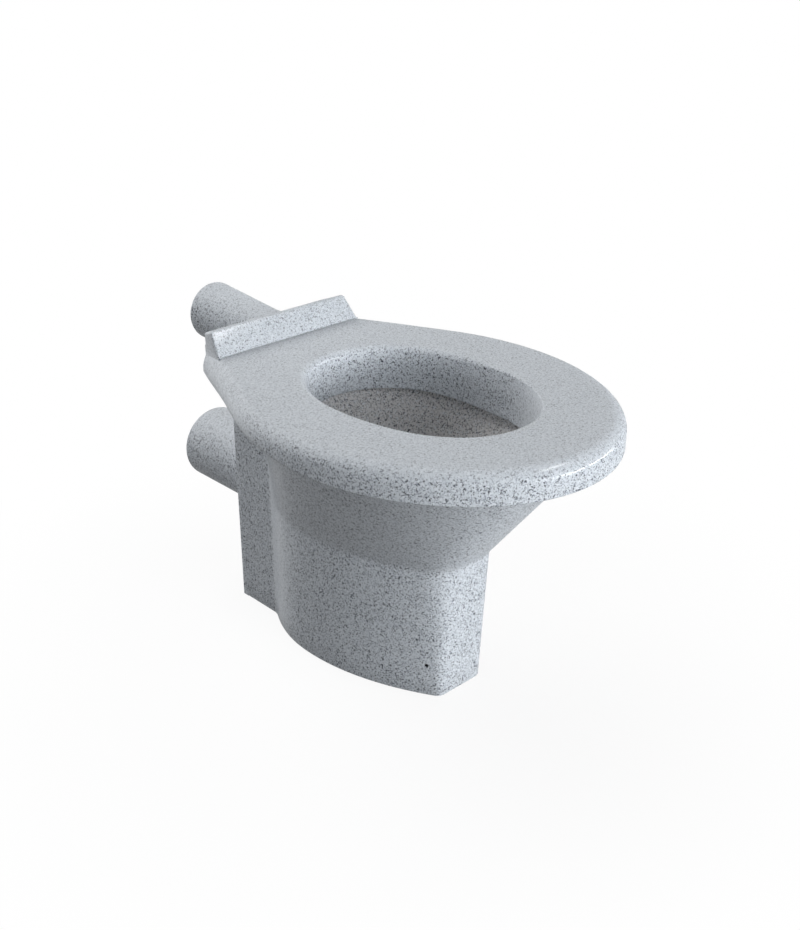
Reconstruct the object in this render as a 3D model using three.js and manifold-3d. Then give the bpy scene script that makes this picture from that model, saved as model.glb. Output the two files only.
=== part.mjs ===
import * as THREE from 'three';
import { mergeVertices } from 'three/addons/utils/BufferGeometryUtils.js';
import Module from 'manifold-3d';

const wasm = await Module();
wasm.setup();

// Wall-outlet toilet pan of speckled cast resin, with a fixed seat deck bonded to the pan.
// Lengths are millimetres. While the pieces are made, Z is the height over the floor and the
// finished wall is the plane Y = 0, with the front of the pan towards -Y. Sizes named BACK are
// measured from that wall towards the front.

// Fits
const GAP = 0.3;
const CUT_OVERRUN = 2;

// Seat deck: the seat widths are measured from the opening to the deck's edge
const DECK_TOP = 400;
const DECK_THICKNESS = 38;
const SEAT_SIDE_WIDTH = 100;
const SEAT_FRONT_WIDTH = 104;
const DECK_REAR_HALF_WIDTH = 107.5;
const DECK_EDGE_ROUND = 18;
const DECK_LOWER_ROUND = 1;

// Opening in the deck and the skirt that hangs under it
const OPENING_CENTRE_BACK = 307;
const OPENING_HALF_WIDTH = 116;
const OPENING_HALF_LENGTH = 162;
const OPENING_EDGE_ROUND = 7;
const OPENING_POWER = 2.15;
const CIRCLE_POWER = 2;
const SKIRT_DEPTH = 60;
const SKIRT_WALL = 12;

// Wedge along the back of the deck, against the wall
const UPSTAND_DEPTH = 55.5;
const UPSTAND_HEIGHT = 29.5;
const UPSTAND_REAR_HEIGHT = 17;
const UPSTAND_RIDGE_BACK = 33;
const UPSTAND_FRONT_HALF_WIDTH = 120;
const UPSTAND_RIDGE_HALF_WIDTH = 115;
const UPSTAND_REAR_HALF_WIDTH = 102;

// Pedestal: a slab at the wall with a plate on its back, a foot with a curved plan and a cone
const BODY_WALL = 9;
const REAR_WALL = 12;
const SLAB_SIDE_COVER = 11;
const SLAB_DEPTH = 80;
const WAIST_HEIGHT = 192;
const WAIST_ROUND = 14;
const FOOT_PROJECTION = 384;
const FOOT_HALF_WIDTH = 95.4;
const FOOT_WIDEST_BACK = 190;
const FOOT_FRONT_HALF_WIDTH = 37;
const FOOT_CORNER_ROUND = 7;
const FOOT_SIDE_POWER = 2.2;
const WAIST_FORWARD = 14;
const WAIST_OUTWARD = 6.6;
const WAIST_WIDEST_SHIFT = 10;
const CONE_SIDE_CLEARANCE = 21;
const CONE_END_CLEARANCE = 25;

// Bowl and the open channel round its top
const BOWL_WALL = 8;
const CHANNEL_WIDTH = 13;
const CHANNEL_SLOT = 5;
const CHANNEL_FLOOR = 6;
const BOWL_SHELF = 6;

// Water way: neck under the bowl, trap and crown
const THROAT_TO_FRONT = 122;
const NECK_RISE = 64;
const NECK_LENGTH = 16;
const TRAP_BORE_RADIUS = 32;
const TRAP_WALL = 7;
const TRAP_BEND_CLEARANCE = 5;
const TRAP_SEAL = 50;
const CROWN_CLEARANCE = 27;
const SLEEVE_WALL = 5;
const SLEEVE_LENGTH = 22;

// Outlet spigot through the wall
const OUTLET_HEIGHT = 181;
const OUTLET_RADIUS = 54;
const OUTLET_WALL = 12;
const OUTLET_LENGTH = 142;
const OUTLET_TAIL = 30;
const OUTLET_SOCKET_DEPTH = 20;

// Flush inlet spigot: it widens and rises a little from the wall to its end. Duct from its
// tail to the channel
const INLET_DROP = 10.5;
const INLET_RISE = 5.5;
const INLET_RADIUS = 37;
const INLET_FLARE = 4.5;
const INLET_WALL = 8;
const INLET_LENGTH = 122.5;
const INLET_TAIL = 30;
const SPIGOT_CHAMFER = 2;
const DUCT_HALF_WIDTH = 46;
const DUCT_SKIN = 12;
const DUCT_REACH = 28;
const DUCT_FLOOR = 9.5;

// Threaded inserts in the back for fixing studs
const INSERT_RADIUS = 8;
const INSERT_BORE_RADIUS = 5;
const INSERT_LENGTH = 24;
const INSERT_TO_SIDE = 25;
const INSERT_LOW = 45;
const INSERT_UNDER_DECK = 100;
const BOSS_RADIUS = 14;
const BOSS_FLOOR = 4;

// Side fixing: set screws near the toe and the floor brackets that they enter
const SCREW_TO_FRONT = 15;
const SCREW_HEIGHT = 47;
const SCREW_RADIUS = 3;
const SCREW_RECESS = 2.5;
const SCREW_END = 2;
const HEX_RADIUS = 1.6;
const HEX_DEPTH = 3.5;
const BRACKET_DEPTH_FROM_FACE = 16;
const BRACKET_SHEET = 4;
const BRACKET_WIDTH = 22;
const BRACKET_HEIGHT = 62;
const BRACKET_REACH = 20;
const BRACKET_HOLE_RADIUS = 2.75;

// Shape of the bowl below its shelf: share of the depth, of the size left over the bore,
// and of the shift towards the throat
const BOWL_PROFILE_SHARES = [
  [0, 1, 0],
  [0.1, 0.91, 0.067],
  [0.23, 0.783, 0.156],
  [0.37, 0.625, 0.289],
  [0.515, 0.45, 0.467],
  [0.66, 0.282, 0.667],
  [0.8, 0.133, 0.844],
  [0.92, 0.038, 0.944],
  [1, 0, 1],
];

// Steps used on the round shapes
const OUTLINE_STEPS = 26;
const TAPER_STEPS = 3;
const ROUND_STEPS = 4;
const RING_STEPS = 52;
const FOOT_STEPS = 32;
const PIPE_STEPS = 28;
const BORE_STEPS = 16;
const SCREW_STEPS = 8;
const HEX_STEPS = 6;
const BEND_STEPS = 10;
const CROWN_STEPS = 7;
const CONE_STEPS = 3;

// Levels and places that follow from the sizes above
const DECK_UNDERSIDE = DECK_TOP - DECK_THICKNESS;
const DECK_HALF_WIDTH = OPENING_HALF_WIDTH + SEAT_SIDE_WIDTH;
const DECK_HALF_LENGTH = OPENING_HALF_LENGTH + SEAT_FRONT_WIDTH;
const DECK_PROJECTION = OPENING_CENTRE_BACK + DECK_HALF_LENGTH;
const SKIRT_BOTTOM = DECK_TOP - SKIRT_DEPTH;
const SKIRT_HALF_WIDTH = OPENING_HALF_WIDTH + SKIRT_WALL;
const SKIRT_HALF_LENGTH = OPENING_HALF_LENGTH + SKIRT_WALL;
const BODY_TOP = DECK_UNDERSIDE - GAP;
const MOUTH_HALF_WIDTH = SKIRT_HALF_WIDTH + CHANNEL_WIDTH;
const MOUTH_HALF_LENGTH = SKIRT_HALF_LENGTH + CHANNEL_WIDTH;
const SHELF_HEIGHT = SKIRT_BOTTOM - GAP;
const SLAB_HALF_WIDTH = OUTLET_RADIUS + SLAB_SIDE_COVER;
const TRAP_RADIUS = TRAP_BORE_RADIUS + TRAP_WALL;
const TRAP_BEND_RADIUS = TRAP_RADIUS + TRAP_BEND_CLEARANCE;
const CROWN_RADIUS = TRAP_RADIUS + CROWN_CLEARANCE;
const TRAP_BEND_HEIGHT = OUTLET_HEIGHT - TRAP_SEAL - TRAP_BEND_RADIUS;
const NECK_BOTTOM = TRAP_BEND_HEIGHT + NECK_RISE;
const NECK_TOP = NECK_BOTTOM + NECK_LENGTH;
const THROAT_BACK = FOOT_PROJECTION - THROAT_TO_FRONT;
const RISE_BACK = THROAT_BACK - 2 * TRAP_BEND_RADIUS;
const CROWN_HEIGHT = OUTLET_HEIGHT - CROWN_RADIUS;
const CROWN_BACK = RISE_BACK - CROWN_RADIUS;
const TRAP_JOINT_HEIGHT = (TRAP_BEND_HEIGHT + CROWN_HEIGHT) / 2;
const OUTLET_BORE_RADIUS = OUTLET_RADIUS - OUTLET_WALL;
const OUTLET_SOCKET_RADIUS = TRAP_RADIUS + GAP;
const TRAP_END_BACK = OUTLET_TAIL - OUTLET_SOCKET_DEPTH + GAP;
const INLET_HEIGHT = DECK_TOP - INLET_DROP;
const INLET_BORE_RADIUS = INLET_RADIUS - INLET_WALL;
const INSERT_SIDE = SLAB_HALF_WIDTH - INSERT_TO_SIDE;
const INSERT_HIGH = DECK_TOP - INSERT_UNDER_DECK;
const SCREW_BACK = FOOT_PROJECTION - SCREW_TO_FRONT;
const DUCT_TOP = DECK_TOP - DUCT_SKIN;
const DUCT_FRONT_BACK = OPENING_CENTRE_BACK - SKIRT_HALF_LENGTH;

// Surface colours of the materials
const resin = () => new THREE.MeshStandardMaterial({ color: 0xb6bcc4, roughness: 0.42, metalness: 0 });
const brass = () => new THREE.MeshStandardMaterial({ color: 0xb08d4a, roughness: 0.35, metalness: 1 });
const zincSteel = () => new THREE.MeshStandardMaterial({ color: 0xa9adb0, roughness: 0.4, metalness: 1 });
const blackSteel = () => new THREE.MeshStandardMaterial({ color: 0x1b1c1e, roughness: 0.5, metalness: 1 });

// Closed surface through rings of [x, y, z] points, with a fan on the first and last ring.
// A ring starts at the front centre, and its second half is split the mirrored way.
function loft(rings) {
  const count = rings[0].length;
  const positions = rings.flat(2);
  const indices = [];
  for (let level = 0; level + 1 < rings.length; level += 1) {
    for (let i = 0; i < count; i += 1) {
      const a = level * count + i;
      const b = level * count + ((i + 1) % count);
      if (2 * i < count) {
        indices.push(a, b, b + count, a, b + count, a + count);
      } else {
        indices.push(a, b, a + count, b, b + count, a + count);
      }
    }
  }
  const last = (rings.length - 1) * count;
  const low = positions.length / 3;
  positions.push(...middle(rings[0]), ...middle(rings[rings.length - 1]));
  for (let i = 0; i < count; i += 1) {
    const next = (i + 1) % count;
    indices.push(low, next, i, low + 1, last + i, last + next);
  }
  const geometry = new THREE.BufferGeometry();
  geometry.setAttribute('position', new THREE.Float32BufferAttribute(positions, 3));
  geometry.setIndex(signedVolume(positions, indices) < 0 ? indices.reverse() : indices);
  return solid(geometry);
}

function middle(ring) {
  const sums = [0, 1, 2].map((axis) => ring.reduce((sum, point) => sum + point[axis], 0));
  return sums.map((sum) => sum / ring.length);
}

function signedVolume(positions, indices) {
  const at = (index) => new THREE.Vector3().fromArray(positions, 3 * index);
  let volume = 0;
  for (let i = 0; i < indices.length; i += 3) {
    volume += at(indices[i]).dot(at(indices[i + 1]).cross(at(indices[i + 2])));
  }
  return volume;
}

// Boolean solid of a closed geometry, and the way back.
function solid(geometry) {
  geometry.deleteAttribute('normal');
  geometry.deleteAttribute('uv');
  const merged = mergeVertices(geometry);
  const vertProperties = new Float32Array(merged.attributes.position.array);
  const triVerts = new Uint32Array(merged.index.array);
  return new wasm.Manifold(new wasm.Mesh({ numProp: 3, vertProperties, triVerts }));
}

function piece(name, shape, material) {
  const mesh = shape.getMesh();
  const geometry = new THREE.BufferGeometry();
  geometry.setAttribute('position', new THREE.BufferAttribute(new Float32Array(mesh.vertProperties), 3));
  geometry.setIndex(new THREE.BufferAttribute(new Uint32Array(mesh.triVerts), 1));
  geometry.computeVertexNormals();
  const result = new THREE.Mesh(geometry, material);
  result.name = name;
  return result;
}

// Box from its low and high corners.
function block(low, high) {
  const size = high.map((value, axis) => value - low[axis]);
  const centre = high.map((value, axis) => (value + low[axis]) / 2);
  return solid(new THREE.BoxGeometry(...size).translate(...centre));
}

// Round bar along Y between two depths measured from the wall.
function barAlongY(radius, x, z, frontBack, rearBack, steps) {
  const bar = new THREE.CylinderGeometry(radius, radius, frontBack - rearBack, steps);
  return solid(bar.translate(0, -(frontBack + rearBack) / 2, 0).translate(x, 0, z));
}

// Turned part along Y, from a closed profile of [radius, depth from the wall].
function turnedAlongY(profile, z) {
  const points = profile.map(([radius, back]) => new THREE.Vector2(radius, -back));
  points.push(points[0].clone());
  return solid(new THREE.LatheGeometry(points, PIPE_STEPS).translate(0, 0, z));
}

// Full outline from its +X half, which runs from the front centre to the rear centre.
function mirrored(half) {
  const other = half.slice(1, -1).reverse();
  return half.concat(other.map(([x, y]) => [-x, y]));
}

function ringAt(outline, z) {
  return outline.map(([x, y]) => [x, y, z]);
}

function blend(from, to, share) {
  return from + (to - from) * share;
}

function blendRings(from, to, share) {
  return from.map((point, i) => point.map((value, axis) => blend(value, to[i][axis], share)));
}

// Rounded oval of the opening and the bowl, drawn out towards a superellipse.
function ovalRing(halfWidth, halfLength, back, z, power) {
  const ring = [];
  for (let i = 0; i < RING_STEPS; i += 1) {
    const angle = (2 * Math.PI * i) / RING_STEPS - Math.PI / 2;
    const across = Math.sign(Math.cos(angle)) * Math.abs(Math.cos(angle)) ** (2 / power);
    const along = Math.sign(Math.sin(angle)) * Math.abs(Math.sin(angle)) ** (2 / power);
    ring.push([halfWidth * across, halfLength * along - back, z]);
  }
  return ring;
}

function openingRing(extra, z) {
  const halfWidth = OPENING_HALF_WIDTH + extra;
  const halfLength = OPENING_HALF_LENGTH + extra;
  return ovalRing(halfWidth, halfLength, OPENING_CENTRE_BACK, z, OPENING_POWER);
}

// Deck outline: an ellipse at the front with straight sides, tangent to it, to the wall.
function deckOutline(inset) {
  const halfWidth = DECK_HALF_WIDTH - inset;
  const halfLength = DECK_HALF_LENGTH - inset;
  const cornerX = DECK_REAR_HALF_WIDTH / DECK_HALF_WIDTH;
  const cornerY = OPENING_CENTRE_BACK / DECK_HALF_LENGTH;
  const tangent = Math.atan2(cornerY, cornerX) - Math.acos(1 / Math.hypot(cornerX, cornerY));
  const half = [];
  for (let i = 0; i <= OUTLINE_STEPS; i += 1) {
    const angle = blend(-Math.PI / 2, tangent, i / OUTLINE_STEPS);
    half.push([halfWidth * Math.cos(angle), halfLength * Math.sin(angle) - OPENING_CENTRE_BACK]);
  }
  const [startX, startY] = half[half.length - 1];
  for (let i = 1; i <= TAPER_STEPS; i += 1) {
    const share = i / TAPER_STEPS;
    half.push([blend(startX, DECK_REAR_HALF_WIDTH - inset, share), blend(startY, 0, share)]);
  }
  half.push([0, 0]);
  return mirrored(half);
}

// Rounded upper edge: how far in and up each step of a quarter circle lies.
function roundSteps(radius) {
  const steps = [];
  for (let i = 1; i <= ROUND_STEPS; i += 1) {
    const angle = (Math.PI / 2) * (i / ROUND_STEPS);
    steps.push([radius * (1 - Math.cos(angle)), radius * Math.sin(angle)]);
  }
  return steps;
}

function deckPlate() {
  const edge = DECK_TOP - DECK_EDGE_ROUND;
  const rings = [
    ringAt(deckOutline(DECK_LOWER_ROUND), DECK_UNDERSIDE),
    ringAt(deckOutline(0), DECK_UNDERSIDE + DECK_LOWER_ROUND),
    ringAt(deckOutline(0), edge),
  ];
  for (const [inward, upward] of roundSteps(DECK_EDGE_ROUND)) {
    rings.push(ringAt(deckOutline(inward), edge + upward));
  }
  return loft(rings);
}

function openingCut() {
  const edge = DECK_TOP - OPENING_EDGE_ROUND;
  const rings = [openingRing(0, SKIRT_BOTTOM - CUT_OVERRUN), openingRing(0, edge)];
  for (const [outward, upward] of roundSteps(OPENING_EDGE_ROUND)) {
    rings.push(openingRing(outward, edge + upward));
  }
  rings.push(openingRing(OPENING_EDGE_ROUND, DECK_TOP + CUT_OVERRUN));
  return loft(rings);
}

// Plan of the wedge, also the flat pad under it on the deck.
function upstandPlan(z) {
  return [
    [-UPSTAND_FRONT_HALF_WIDTH, -UPSTAND_DEPTH, z],
    [UPSTAND_FRONT_HALF_WIDTH, -UPSTAND_DEPTH, z],
    [UPSTAND_REAR_HALF_WIDTH, 0, z],
    [-UPSTAND_REAR_HALF_WIDTH, 0, z],
  ];
}

function wedge() {
  const base = DECK_TOP + GAP;
  const endFace = (side) => [
    [side * UPSTAND_FRONT_HALF_WIDTH, -UPSTAND_DEPTH, base],
    [side * UPSTAND_RIDGE_HALF_WIDTH, -UPSTAND_RIDGE_BACK, DECK_TOP + UPSTAND_HEIGHT],
    [side * UPSTAND_REAR_HALF_WIDTH, 0, DECK_TOP + UPSTAND_REAR_HEIGHT],
    [side * UPSTAND_REAR_HALF_WIDTH, 0, base],
  ];
  return loft([endFace(-1), endFace(1)]);
}

// Space for the tail of the flush spigot at the wall.
function inletSocket() {
  const radius = INLET_RADIUS + GAP;
  return barAlongY(radius, 0, INLET_HEIGHT, INLET_TAIL + GAP, -CUT_OVERRUN, PIPE_STEPS);
}

// Way of the flush water through the deck, from the round bore to the wide flat pocket.
function flushDuct() {
  const front = INLET_TAIL + DUCT_REACH;
  const round = [];
  const flat = [];
  for (let i = 0; i < BORE_STEPS; i += 1) {
    const angle = (2 * Math.PI * (i + 0.5)) / BORE_STEPS;
    const across = Math.cos(angle);
    const upward = Math.sin(angle);
    const reach = Math.max(Math.abs(across), Math.abs(upward));
    const level = upward > 0 ? DUCT_TOP : DECK_UNDERSIDE - GAP;
    const height = blend((DUCT_TOP + DECK_UNDERSIDE) / 2, level, Math.abs(upward) / reach);
    round.push([INLET_BORE_RADIUS * across, -INLET_TAIL, INLET_HEIGHT + INLET_BORE_RADIUS * upward]);
    flat.push([(DUCT_HALF_WIDTH * across) / reach, -front, height]);
  }
  const pocket = block(
    [-DUCT_HALF_WIDTH, -DUCT_FRONT_BACK, DECK_UNDERSIDE - CUT_OVERRUN],
    [DUCT_HALF_WIDTH, CUT_OVERRUN - front, DUCT_TOP],
  );
  return loft([round, flat]).add(pocket);
}

function seatDeck() {
  const skirt = loft([
    openingRing(SKIRT_WALL, SKIRT_BOTTOM),
    openingRing(SKIRT_WALL, DECK_UNDERSIDE + CUT_OVERRUN),
  ]);
  const pad = loft([upstandPlan(DECK_TOP - DECK_EDGE_ROUND), upstandPlan(DECK_TOP)]);
  const cuts = openingCut().add(flushDuct()).add(inletSocket());
  return piece('seat_deck', deckPlate().add(pad).add(skirt).subtract(cuts), resin());
}

function rearUpstand() {
  return piece('rear_upstand', wedge().subtract(flushDuct()).subtract(inletSocket()), resin());
}

// Plan sizes of the foot at a height, drawn in by a wall thickness.
function footPlan(z, wall) {
  const share = z / WAIST_HEIGHT;
  return {
    frontHalf: FOOT_FRONT_HALF_WIDTH - wall,
    front: FOOT_PROJECTION + WAIST_FORWARD * share - wall,
    widest: FOOT_HALF_WIDTH + WAIST_OUTWARD * share - wall,
    widestBack: FOOT_WIDEST_BACK + WAIST_WIDEST_SHIFT * share,
    rearHalf: SLAB_HALF_WIDTH - wall,
    rear: SLAB_DEPTH + wall,
  };
}

function footHalfWidthAt(plan, back) {
  if (back > plan.widestBack) {
    const share = (back - plan.widestBack) / (plan.front - plan.widestBack);
    return blend(plan.widest, plan.frontHalf, share ** 2);
  }
  const share = (plan.widestBack - back) / (plan.widestBack - plan.rear);
  return blend(plan.widest, plan.rearHalf, share ** FOOT_SIDE_POWER);
}

function footHalf(z, wall) {
  const plan = footPlan(z, wall);
  const cornerBack = plan.front - FOOT_CORNER_ROUND;
  const path = new THREE.Path();
  path.moveTo(0, -plan.front);
  path.lineTo(plan.frontHalf - FOOT_CORNER_ROUND, -plan.front);
  path.quadraticCurveTo(plan.frontHalf, -plan.front, footHalfWidthAt(plan, cornerBack), -cornerBack);
  for (let i = 1; i <= FOOT_STEPS; i += 1) {
    const back = blend(cornerBack, plan.rear, i / FOOT_STEPS);
    path.lineTo(footHalfWidthAt(plan, back), -back);
  }
  path.lineTo(0, -plan.rear);
  return path;
}

// Top of the cone under the deck, drawn in by a wall thickness.
function coneHalf(wall) {
  const halfWidth = MOUTH_HALF_WIDTH + BOWL_WALL + CONE_SIDE_CLEARANCE + BODY_WALL - wall;
  const halfLength = MOUTH_HALF_LENGTH + BOWL_WALL + CONE_END_CLEARANCE + BODY_WALL - wall;
  const path = new THREE.Path();
  path.absellipse(0, -OPENING_CENTRE_BACK, halfWidth, halfLength, -Math.PI / 2, Math.PI / 2, false, 0);
  return path;
}

// The same number of points on every half outline, evenly spaced along it.
function pedestalRing(path, z) {
  const points = path.getSpacedPoints(FOOT_STEPS);
  return ringAt(mirrored(points.map((point) => [point.x, point.y])), z);
}

// Foot and cone between two heights, with the crease between them rounded.
function footAndCone(wall, bottom, top) {
  const base = pedestalRing(footHalf(0, wall), 0);
  const waist = pedestalRing(footHalf(WAIST_HEIGHT, wall), WAIST_HEIGHT);
  const mouth = pedestalRing(coneHalf(wall), DECK_UNDERSIDE);
  const below = blendRings(base, waist, 1 - WAIST_ROUND / WAIST_HEIGHT);
  const above = blendRings(waist, mouth, WAIST_ROUND / (DECK_UNDERSIDE - WAIST_HEIGHT));
  const rings = [blendRings(base, waist, bottom / WAIST_HEIGHT)];
  for (let i = 0; i <= ROUND_STEPS; i += 1) {
    const share = i / ROUND_STEPS;
    rings.push(blendRings(blendRings(below, waist, share), blendRings(waist, above, share), share));
  }
  const topShare = (top - WAIST_HEIGHT) / (DECK_UNDERSIDE - WAIST_HEIGHT);
  for (let i = 1; i <= CONE_STEPS; i += 1) {
    rings.push(blendRings(above, blendRings(waist, mouth, topShare), i / CONE_STEPS));
  }
  return loft(rings);
}

function insertPlaces() {
  const places = [];
  for (const [level, z] of [['lower', INSERT_LOW], ['upper', INSERT_HIGH]]) {
    for (const [side, x] of [['left', -INSERT_SIDE], ['right', INSERT_SIDE]]) {
      places.push({ name: `${level}_${side}_wall_insert`, x, z });
    }
  }
  return places;
}

// Place and heading of a side screw: on the outer face, at right angles to it.
function screwFrame(side) {
  const plan = footPlan(SCREW_HEIGHT, 0);
  const halfWidth = footHalfWidthAt(plan, SCREW_BACK);
  const length = plan.front - plan.widestBack;
  const slope = (2 * (plan.widest - plan.frontHalf) * (SCREW_BACK - plan.widestBack)) / length ** 2;
  const turn = Math.atan(slope);
  return { place: [side * halfWidth, -SCREW_BACK, SCREW_HEIGHT], turn, side };
}

// Moves a shape drawn with its outer face at X = 0, inward towards -X, to the foot's side.
function atFootSide(geometry, frame, height) {
  geometry.rotateZ(-frame.turn);
  if (frame.side < 0) {
    geometry.rotateZ(2 * frame.turn).rotateZ(Math.PI);
  }
  return solid(geometry.translate(frame.place[0], frame.place[1], height));
}

// Round bar drawn inward from the foot's side, between two depths.
function barAtFootSide(radius, from, to, frame, steps) {
  const bar = new THREE.CylinderGeometry(radius, radius, to - from, steps).rotateZ(Math.PI / 2);
  return atFootSide(bar.translate(-(from + to) / 2, 0, 0), frame, SCREW_HEIGHT);
}

// Casing, open at the floor, under the deck and at the back of the slab.
function pedestalBody() {
  const slabFront = DUCT_FRONT_BACK;
  const slabRear = REAR_WALL + GAP;
  const innerHalf = SLAB_HALF_WIDTH - BODY_WALL;
  const outer = footAndCone(0, 0, BODY_TOP);
  const slab = block([-SLAB_HALF_WIDTH, -slabFront, 0], [SLAB_HALF_WIDTH, -slabRear, BODY_TOP]);
  const inner = footAndCone(BODY_WALL, -CUT_OVERRUN, BODY_TOP + CUT_OVERRUN);
  const slabHollow = block(
    [-innerHalf, -slabFront, -CUT_OVERRUN],
    [innerHalf, CUT_OVERRUN, BODY_TOP + CUT_OVERRUN],
  );
  let body = outer.add(slab).subtract(inner.add(slabHollow));
  for (const side of [-1, 1]) {
    const frame = screwFrame(side);
    body = body.subtract(barAtFootSide(SCREW_RADIUS + GAP, -CUT_OVERRUN, 2 * BODY_WALL, frame, SCREW_STEPS));
  }
  return piece('pedestal_body', body, resin());
}

// Plate on the back of the slab, with the bosses of the wall inserts.
function rearWallPlate() {
  let plate = block([-SLAB_HALF_WIDTH, -REAR_WALL, 0], [SLAB_HALF_WIDTH, 0, BODY_TOP]);
  for (const { x, z } of insertPlaces()) {
    const bossEnd = INSERT_LENGTH + BOSS_FLOOR;
    plate = plate.add(barAlongY(BOSS_RADIUS, x, z, bossEnd, REAR_WALL / 2, BORE_STEPS));
    const bore = barAlongY(INSERT_RADIUS + GAP, x, z, INSERT_LENGTH + GAP, -CUT_OVERRUN, BORE_STEPS);
    plate = plate.subtract(bore);
  }
  const outletHole = barAlongY(
    OUTLET_RADIUS + GAP, 0, OUTLET_HEIGHT, OUTLET_TAIL + CUT_OVERRUN, -CUT_OVERRUN, PIPE_STEPS,
  );
  return piece('rear_wall_plate', plate.subtract(outletHole).subtract(inletSocket()), resin());
}

// Section of the bowl at one step of its profile, thickened by a wall.
function bowlRing([depthShare, sizeShare, shiftShare], wall) {
  const shelfHalfWidth = MOUTH_HALF_WIDTH - BOWL_SHELF;
  const shelfHalfLength = MOUTH_HALF_LENGTH - BOWL_SHELF;
  return ovalRing(
    blend(TRAP_BORE_RADIUS, shelfHalfWidth, sizeShare) + wall,
    blend(TRAP_BORE_RADIUS, shelfHalfLength, sizeShare) + wall,
    blend(OPENING_CENTRE_BACK, THROAT_BACK, shiftShare),
    blend(SHELF_HEIGHT, NECK_TOP, depthShare),
    blend(CIRCLE_POWER, OPENING_POWER, sizeShare),
  );
}

function mouthRing(extra, z) {
  const halfWidth = MOUTH_HALF_WIDTH + extra;
  const halfLength = MOUTH_HALF_LENGTH + extra;
  return ovalRing(halfWidth, halfLength, OPENING_CENTRE_BACK, z, OPENING_POWER);
}

function throatRing(radius, z) {
  return ovalRing(radius, radius, THROAT_BACK, z, CIRCLE_POWER);
}

function bowl() {
  const outerWall = (share) => blend(TRAP_WALL, BOWL_WALL, share);
  const lower = BOWL_PROFILE_SHARES.slice(1);
  const outer = loft([
    mouthRing(BOWL_WALL, BODY_TOP),
    mouthRing(BOWL_WALL, SHELF_HEIGHT),
    ...lower.map((step) => bowlRing(step, outerWall(step[1]))),
    throatRing(TRAP_RADIUS, NECK_BOTTOM),
  ]);
  const basin = loft([
    ...BOWL_PROFILE_SHARES.map((step) => bowlRing(step, 0)),
    throatRing(TRAP_BORE_RADIUS, NECK_BOTTOM - CUT_OVERRUN),
  ]);
  const channel = loft([mouthRing(0, SHELF_HEIGHT), mouthRing(0, BODY_TOP + CUT_OVERRUN)]);
  return piece('bowl', outer.subtract(basin.add(channel)), resin());
}

// Flat ring that closes the channel from below and leaves a slot beside the skirt.
function channelFloor() {
  const top = SKIRT_BOTTOM + CHANNEL_FLOOR;
  const slot = SKIRT_WALL + CHANNEL_SLOT;
  const plate = loft([mouthRing(-GAP, SKIRT_BOTTOM), mouthRing(-GAP, top)]);
  const hole = loft([openingRing(slot, SKIRT_BOTTOM - CUT_OVERRUN), openingRing(slot, top + CUT_OVERRUN)]);
  return piece('rim_channel_ring', plate.subtract(hole), resin());
}

// Plate under the flush pocket, from the tail of the flush spigot to the back of the bowl.
function ductFloor() {
  const half = SLAB_HALF_WIDTH - BODY_WALL - GAP;
  const top = BODY_TOP;
  const bottom = top - DUCT_FLOOR;
  const plate = block([-half, -DUCT_FRONT_BACK, bottom], [half, -INLET_TAIL - GAP, top]);
  const bowlSide = loft([
    mouthRing(BOWL_WALL + GAP, bottom - CUT_OVERRUN),
    mouthRing(BOWL_WALL + GAP, top + CUT_OVERRUN),
  ]);
  return piece('flush_duct_floor', plate.subtract(bowlSide), resin());
}

// Ring across a pipe that lies in the plane X = 0; heading turns from +Y (zero) up to +Z.
function pipeRing(radius, back, z, heading) {
  const ring = [];
  for (let i = 0; i < PIPE_STEPS; i += 1) {
    const angle = (2 * Math.PI * i) / PIPE_STEPS;
    const normal = radius * Math.sin(angle);
    ring.push([
      radius * Math.cos(angle),
      -back - normal * Math.sin(heading),
      z + normal * Math.cos(heading),
    ]);
  }
  return ring;
}

function trapInletPipe(radius, extra) {
  const rings = [
    pipeRing(radius, THROAT_BACK, NECK_BOTTOM - GAP + extra, -Math.PI / 2),
    pipeRing(radius, THROAT_BACK, TRAP_BEND_HEIGHT, -Math.PI / 2),
  ];
  for (let i = 1; i <= BEND_STEPS; i += 1) {
    const turn = Math.PI * (i / BEND_STEPS);
    const back = THROAT_BACK - TRAP_BEND_RADIUS * (1 - Math.cos(turn));
    const height = TRAP_BEND_HEIGHT - TRAP_BEND_RADIUS * Math.sin(turn);
    rings.push(pipeRing(radius, back, height, turn - Math.PI / 2));
  }
  rings.push(pipeRing(radius, RISE_BACK, TRAP_JOINT_HEIGHT - GAP / 2 + extra, Math.PI / 2));
  return loft(rings);
}

function trapOutletPipe(radius, extra) {
  const rings = [pipeRing(radius, RISE_BACK, TRAP_JOINT_HEIGHT + GAP / 2 - extra, Math.PI / 2)];
  for (let i = 0; i <= CROWN_STEPS; i += 1) {
    const turn = (Math.PI / 2) * (i / CROWN_STEPS);
    const back = CROWN_BACK + CROWN_RADIUS * Math.cos(turn);
    rings.push(pipeRing(radius, back, CROWN_HEIGHT + CROWN_RADIUS * Math.sin(turn), Math.PI / 2 - turn));
  }
  rings.push(pipeRing(radius, TRAP_END_BACK - extra, OUTLET_HEIGHT, 0));
  return loft(rings);
}

function trapInletBend() {
  const shape = trapInletPipe(TRAP_RADIUS, 0).subtract(trapInletPipe(TRAP_BORE_RADIUS, CUT_OVERRUN));
  return piece('trap_inlet_bend', shape, resin());
}

function trapOutletBend() {
  const shape = trapOutletPipe(TRAP_RADIUS, 0).subtract(trapOutletPipe(TRAP_BORE_RADIUS, CUT_OVERRUN));
  return piece('trap_outlet_bend', shape, resin());
}

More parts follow.
